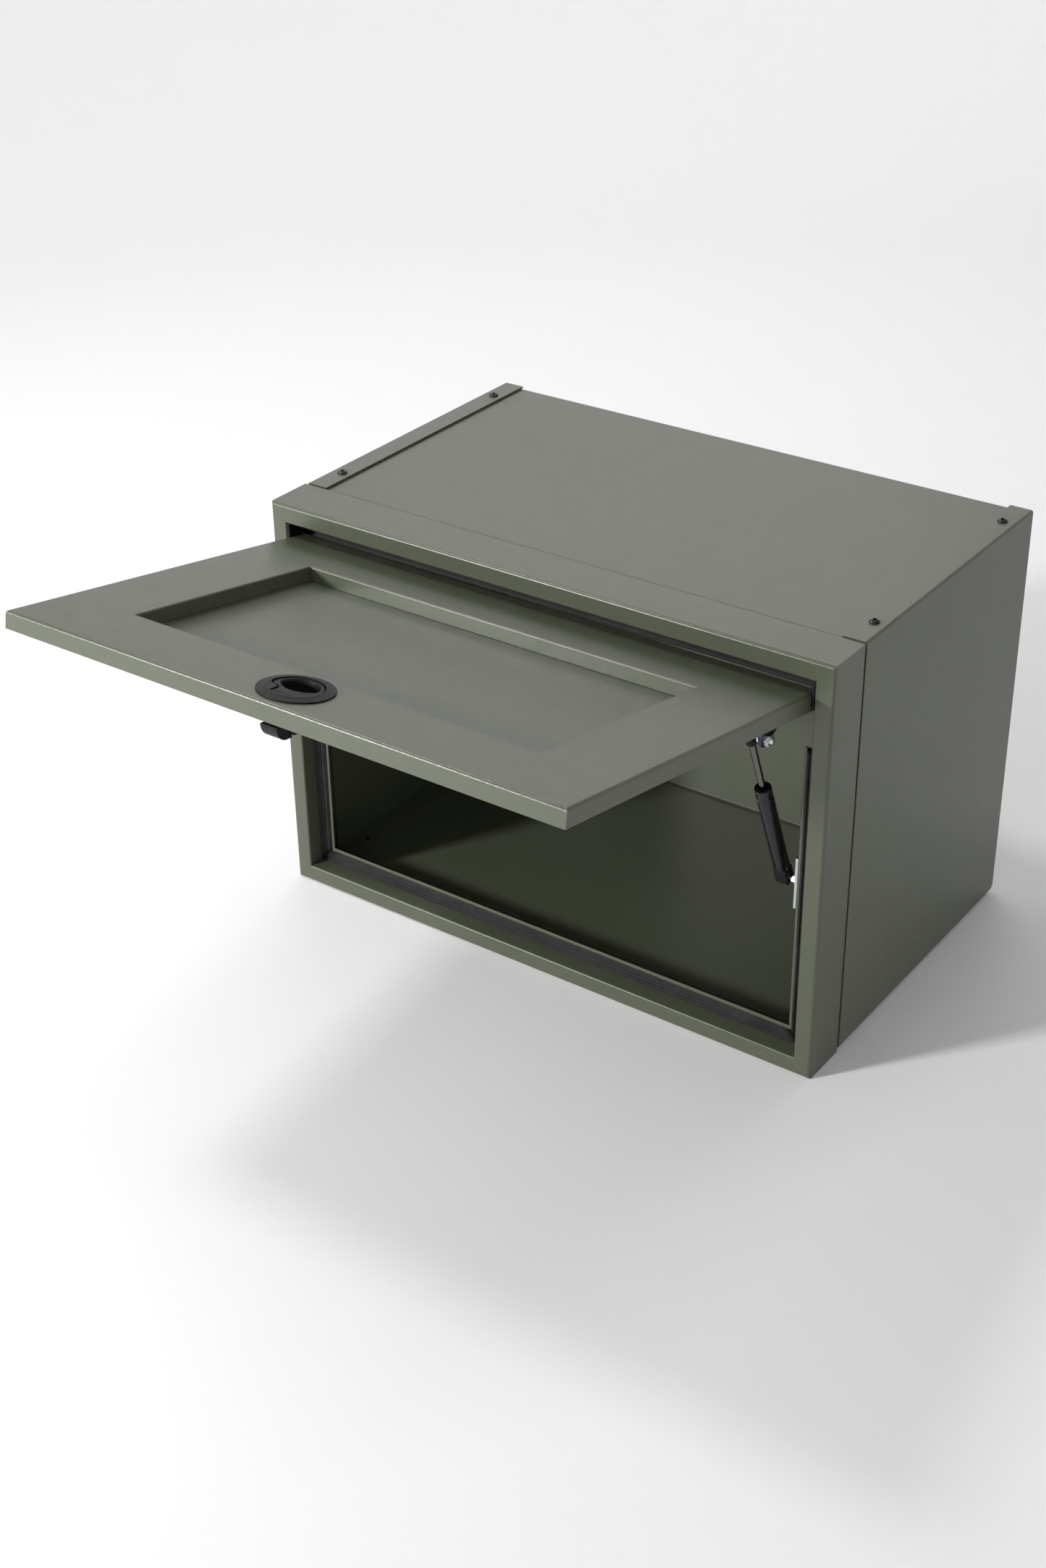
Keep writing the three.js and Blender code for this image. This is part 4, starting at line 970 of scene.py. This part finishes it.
def coil(radius, wire, turns, pitch, steps_per_turn=24, sides=10):
    """A helical spring about x, starting at x = 0."""
    steps = int(turns * steps_per_turn)
    loops = []
    for step in range(steps + 1):
        angle = 2 * math.pi * step / steps_per_turn
        outward = Vector((0, math.cos(angle), math.sin(angle)))
        middle = outward * radius + X_AXIS * (pitch * step / steps_per_turn)
        loops.append([middle + (outward * math.cos(a) + X_AXIS * math.sin(a)) * wire
                      for a in (-2 * math.pi * k / sides for k in range(sides))])
    return loft(loops)


GUIDE_SCREW_LENGTH = 3.7


def guide_screw():
    """A small socket screw with its head down."""
    head, shank, seat = 3, 1.5, 1.7
    profile = [(0, 0), (head - 0.4, 0), (head, 0.4), (head, seat), (shank, seat),
               *threads(shank, seat + 0.1, GUIDE_SCREW_LENGTH - 0.3, pitch=0.5, depth=0.15),
               (1.2, GUIDE_SCREW_LENGTH), (0, GUIDE_SCREW_LENGTH)]
    return carve(lathe(profile), slab(hexagon(1.1), -1, 1, 0))


def latch():
    show("latch_bezel_housing", latch_housing(), LATCH, "latch_housing", edge=0.22)
    show("latch_pull", pull_ring(), LATCH, "latch_pull_ring", edge=0.2)
    show("slam_bolt", latch_bolt(), LATCH, "latch_bolt", edge=0.3)
    show("latch_collar_nut", retaining_ring(), LATCH, "latch_retaining_ring", edge=0.2)
    pin_place = LATCH @ Matrix.Translation(PIN * MM)
    show("pull_pivot_pin", round_bar(-13, 13, 1, 32, 0.2), pin_place @ Z_TO_X, "latch_pin")
    spring = coil(radius=2, wire=0.35, turns=2.5, pitch=0.9)
    spring_place = pin_place @ Matrix.Translation(((STEM_HALF + 1) * MM, 0, 0))
    show("pull_return_spring", spring, spring_place, "latch_return_spring")
    screw = guide_screw()
    for side in ("left", "right"):
        node = f"latch_guide_screw_{side}"
        spot = local_centre(node, LATCH)
        spot.z -= GUIDE_SCREW_LENGTH / 2
        show(f"guide_screw_{side}", screw, LATCH @ Matrix.Translation(spot * MM), node, edge=0.1)


latch()


# ---- carried-over CAD nodes ----
SHEET_BEVEL = 0.5 * MM
SMALL_BEVEL = 0.25 * MM


def dress_cad_nodes():
    for name, obj in nodes.items():
        if not obj.hide_render:
            slot = NODE_SLOTS[name]
            dress(obj, SLOT_MATERIALS[slot], SHEET_BEVEL if slot == "olive_paint" else SMALL_BEVEL)


dress_cad_nodes()


# ---- studio ----
PAPER = (0.89, 0.89, 0.895)
COVE_FLOOR = 2.2  # radius of the flat floor, metres
COVE_BEND = 1.6
COVE_STEPS = 16
COVE_TOP = 4.5
WORLD_LIGHT = 0.01


def paper():
    """Matt paper, very slightly uneven in tone."""
    g = Graph("paper")
    g.link(g.tint(g.noise(1.2, 2), PAPER, tuple(c * 1.01 for c in PAPER)), g.shader.inputs["Base Color"])
    g.shader.inputs["Roughness"].default_value = 0.7
    g.shader.inputs["Specular IOR Level"].default_value = 0.25
    return g.material


def round_cove():
    """A pale round floor that curves up into a wall on every side."""
    profile = [Vector((0, 0, 0)), Vector((COVE_FLOOR, 0, 0))]
    for step in range(1, COVE_STEPS + 1):
        angle = math.pi / 2 * step / COVE_STEPS
        radius = COVE_FLOOR + COVE_BEND * math.sin(angle)
        profile.append(Vector((radius, 0, COVE_BEND * (1 - math.cos(angle)))))
    profile.append(Vector((COVE_FLOOR + COVE_BEND, 0, COVE_TOP)))
    mesh = bpy.data.meshes.new("cove")
    shape = bmesh.new()
    corners = [shape.verts.new(point) for point in profile]
    edges = [shape.edges.new(pair) for pair in zip(corners, corners[1:])]
    bmesh.ops.spin(shape, geom=corners + edges, cent=(0, 0, 0), axis=(0, 0, 1), angle=2 * math.pi, steps=96)
    bmesh.ops.remove_doubles(shape, verts=shape.verts, dist=1e-5)
    bmesh.ops.recalc_face_normals(shape, faces=shape.faces)
    shape.to_mesh(mesh)
    shape.free()
    for polygon in mesh.polygons:
        polygon.use_smooth = True
    cove = bpy.data.objects.new("cove", mesh)
    cove.data.materials.append(paper())
    bpy.context.scene.collection.objects.link(cove)


def area_light(name, place, target, size, power):
    """A light that shines from place to target; size in metres, power in watts."""
    data = bpy.data.lights.new(name, "AREA")
    data.shape = "RECTANGLE"
    data.size, data.size_y = size
    data.energy = power
    light = bpy.data.objects.new(name, data)
    light.location = place
    light.rotation_euler = (Vector(target) - Vector(place)).to_track_quat("-Z", "Y").to_euler()
    light.visible_camera = False
    bpy.context.scene.collection.objects.link(light)


def studio():
    round_cove()
    area_light("key", (-1.65, -2.70, 1.43), (0.6, 0, 0.1), (0.34, 0.34), 92)
    area_light("edge", (-1.3, -0.3, 2.5), (0, 0, 0.3), (0.36, 0.36), 20)
    area_light("front", (0.9, -2.6, 1.8), (0, 0, 0.2), (1.8, 1.4), 5)
    area_light("rear", (-1.4, 2.0, 2.2), (0, 0, 0.3), (1.8, 1.4), 8)
    area_light("wall_wash", (0.0, 0.8, 3.6), (-2.4, 2.8, 1.4), (2.0, 1.0), 40)
    world = bpy.data.worlds.new("world")
    world.use_nodes = True
    background = world.node_tree.nodes["Background"]
    background.inputs["Color"].default_value = (1, 1, 1, 1)
    background.inputs["Strength"].default_value = WORLD_LIGHT
    bpy.context.scene.world = world
    bpy.context.scene.view_settings.view_transform = "Standard"


studio()
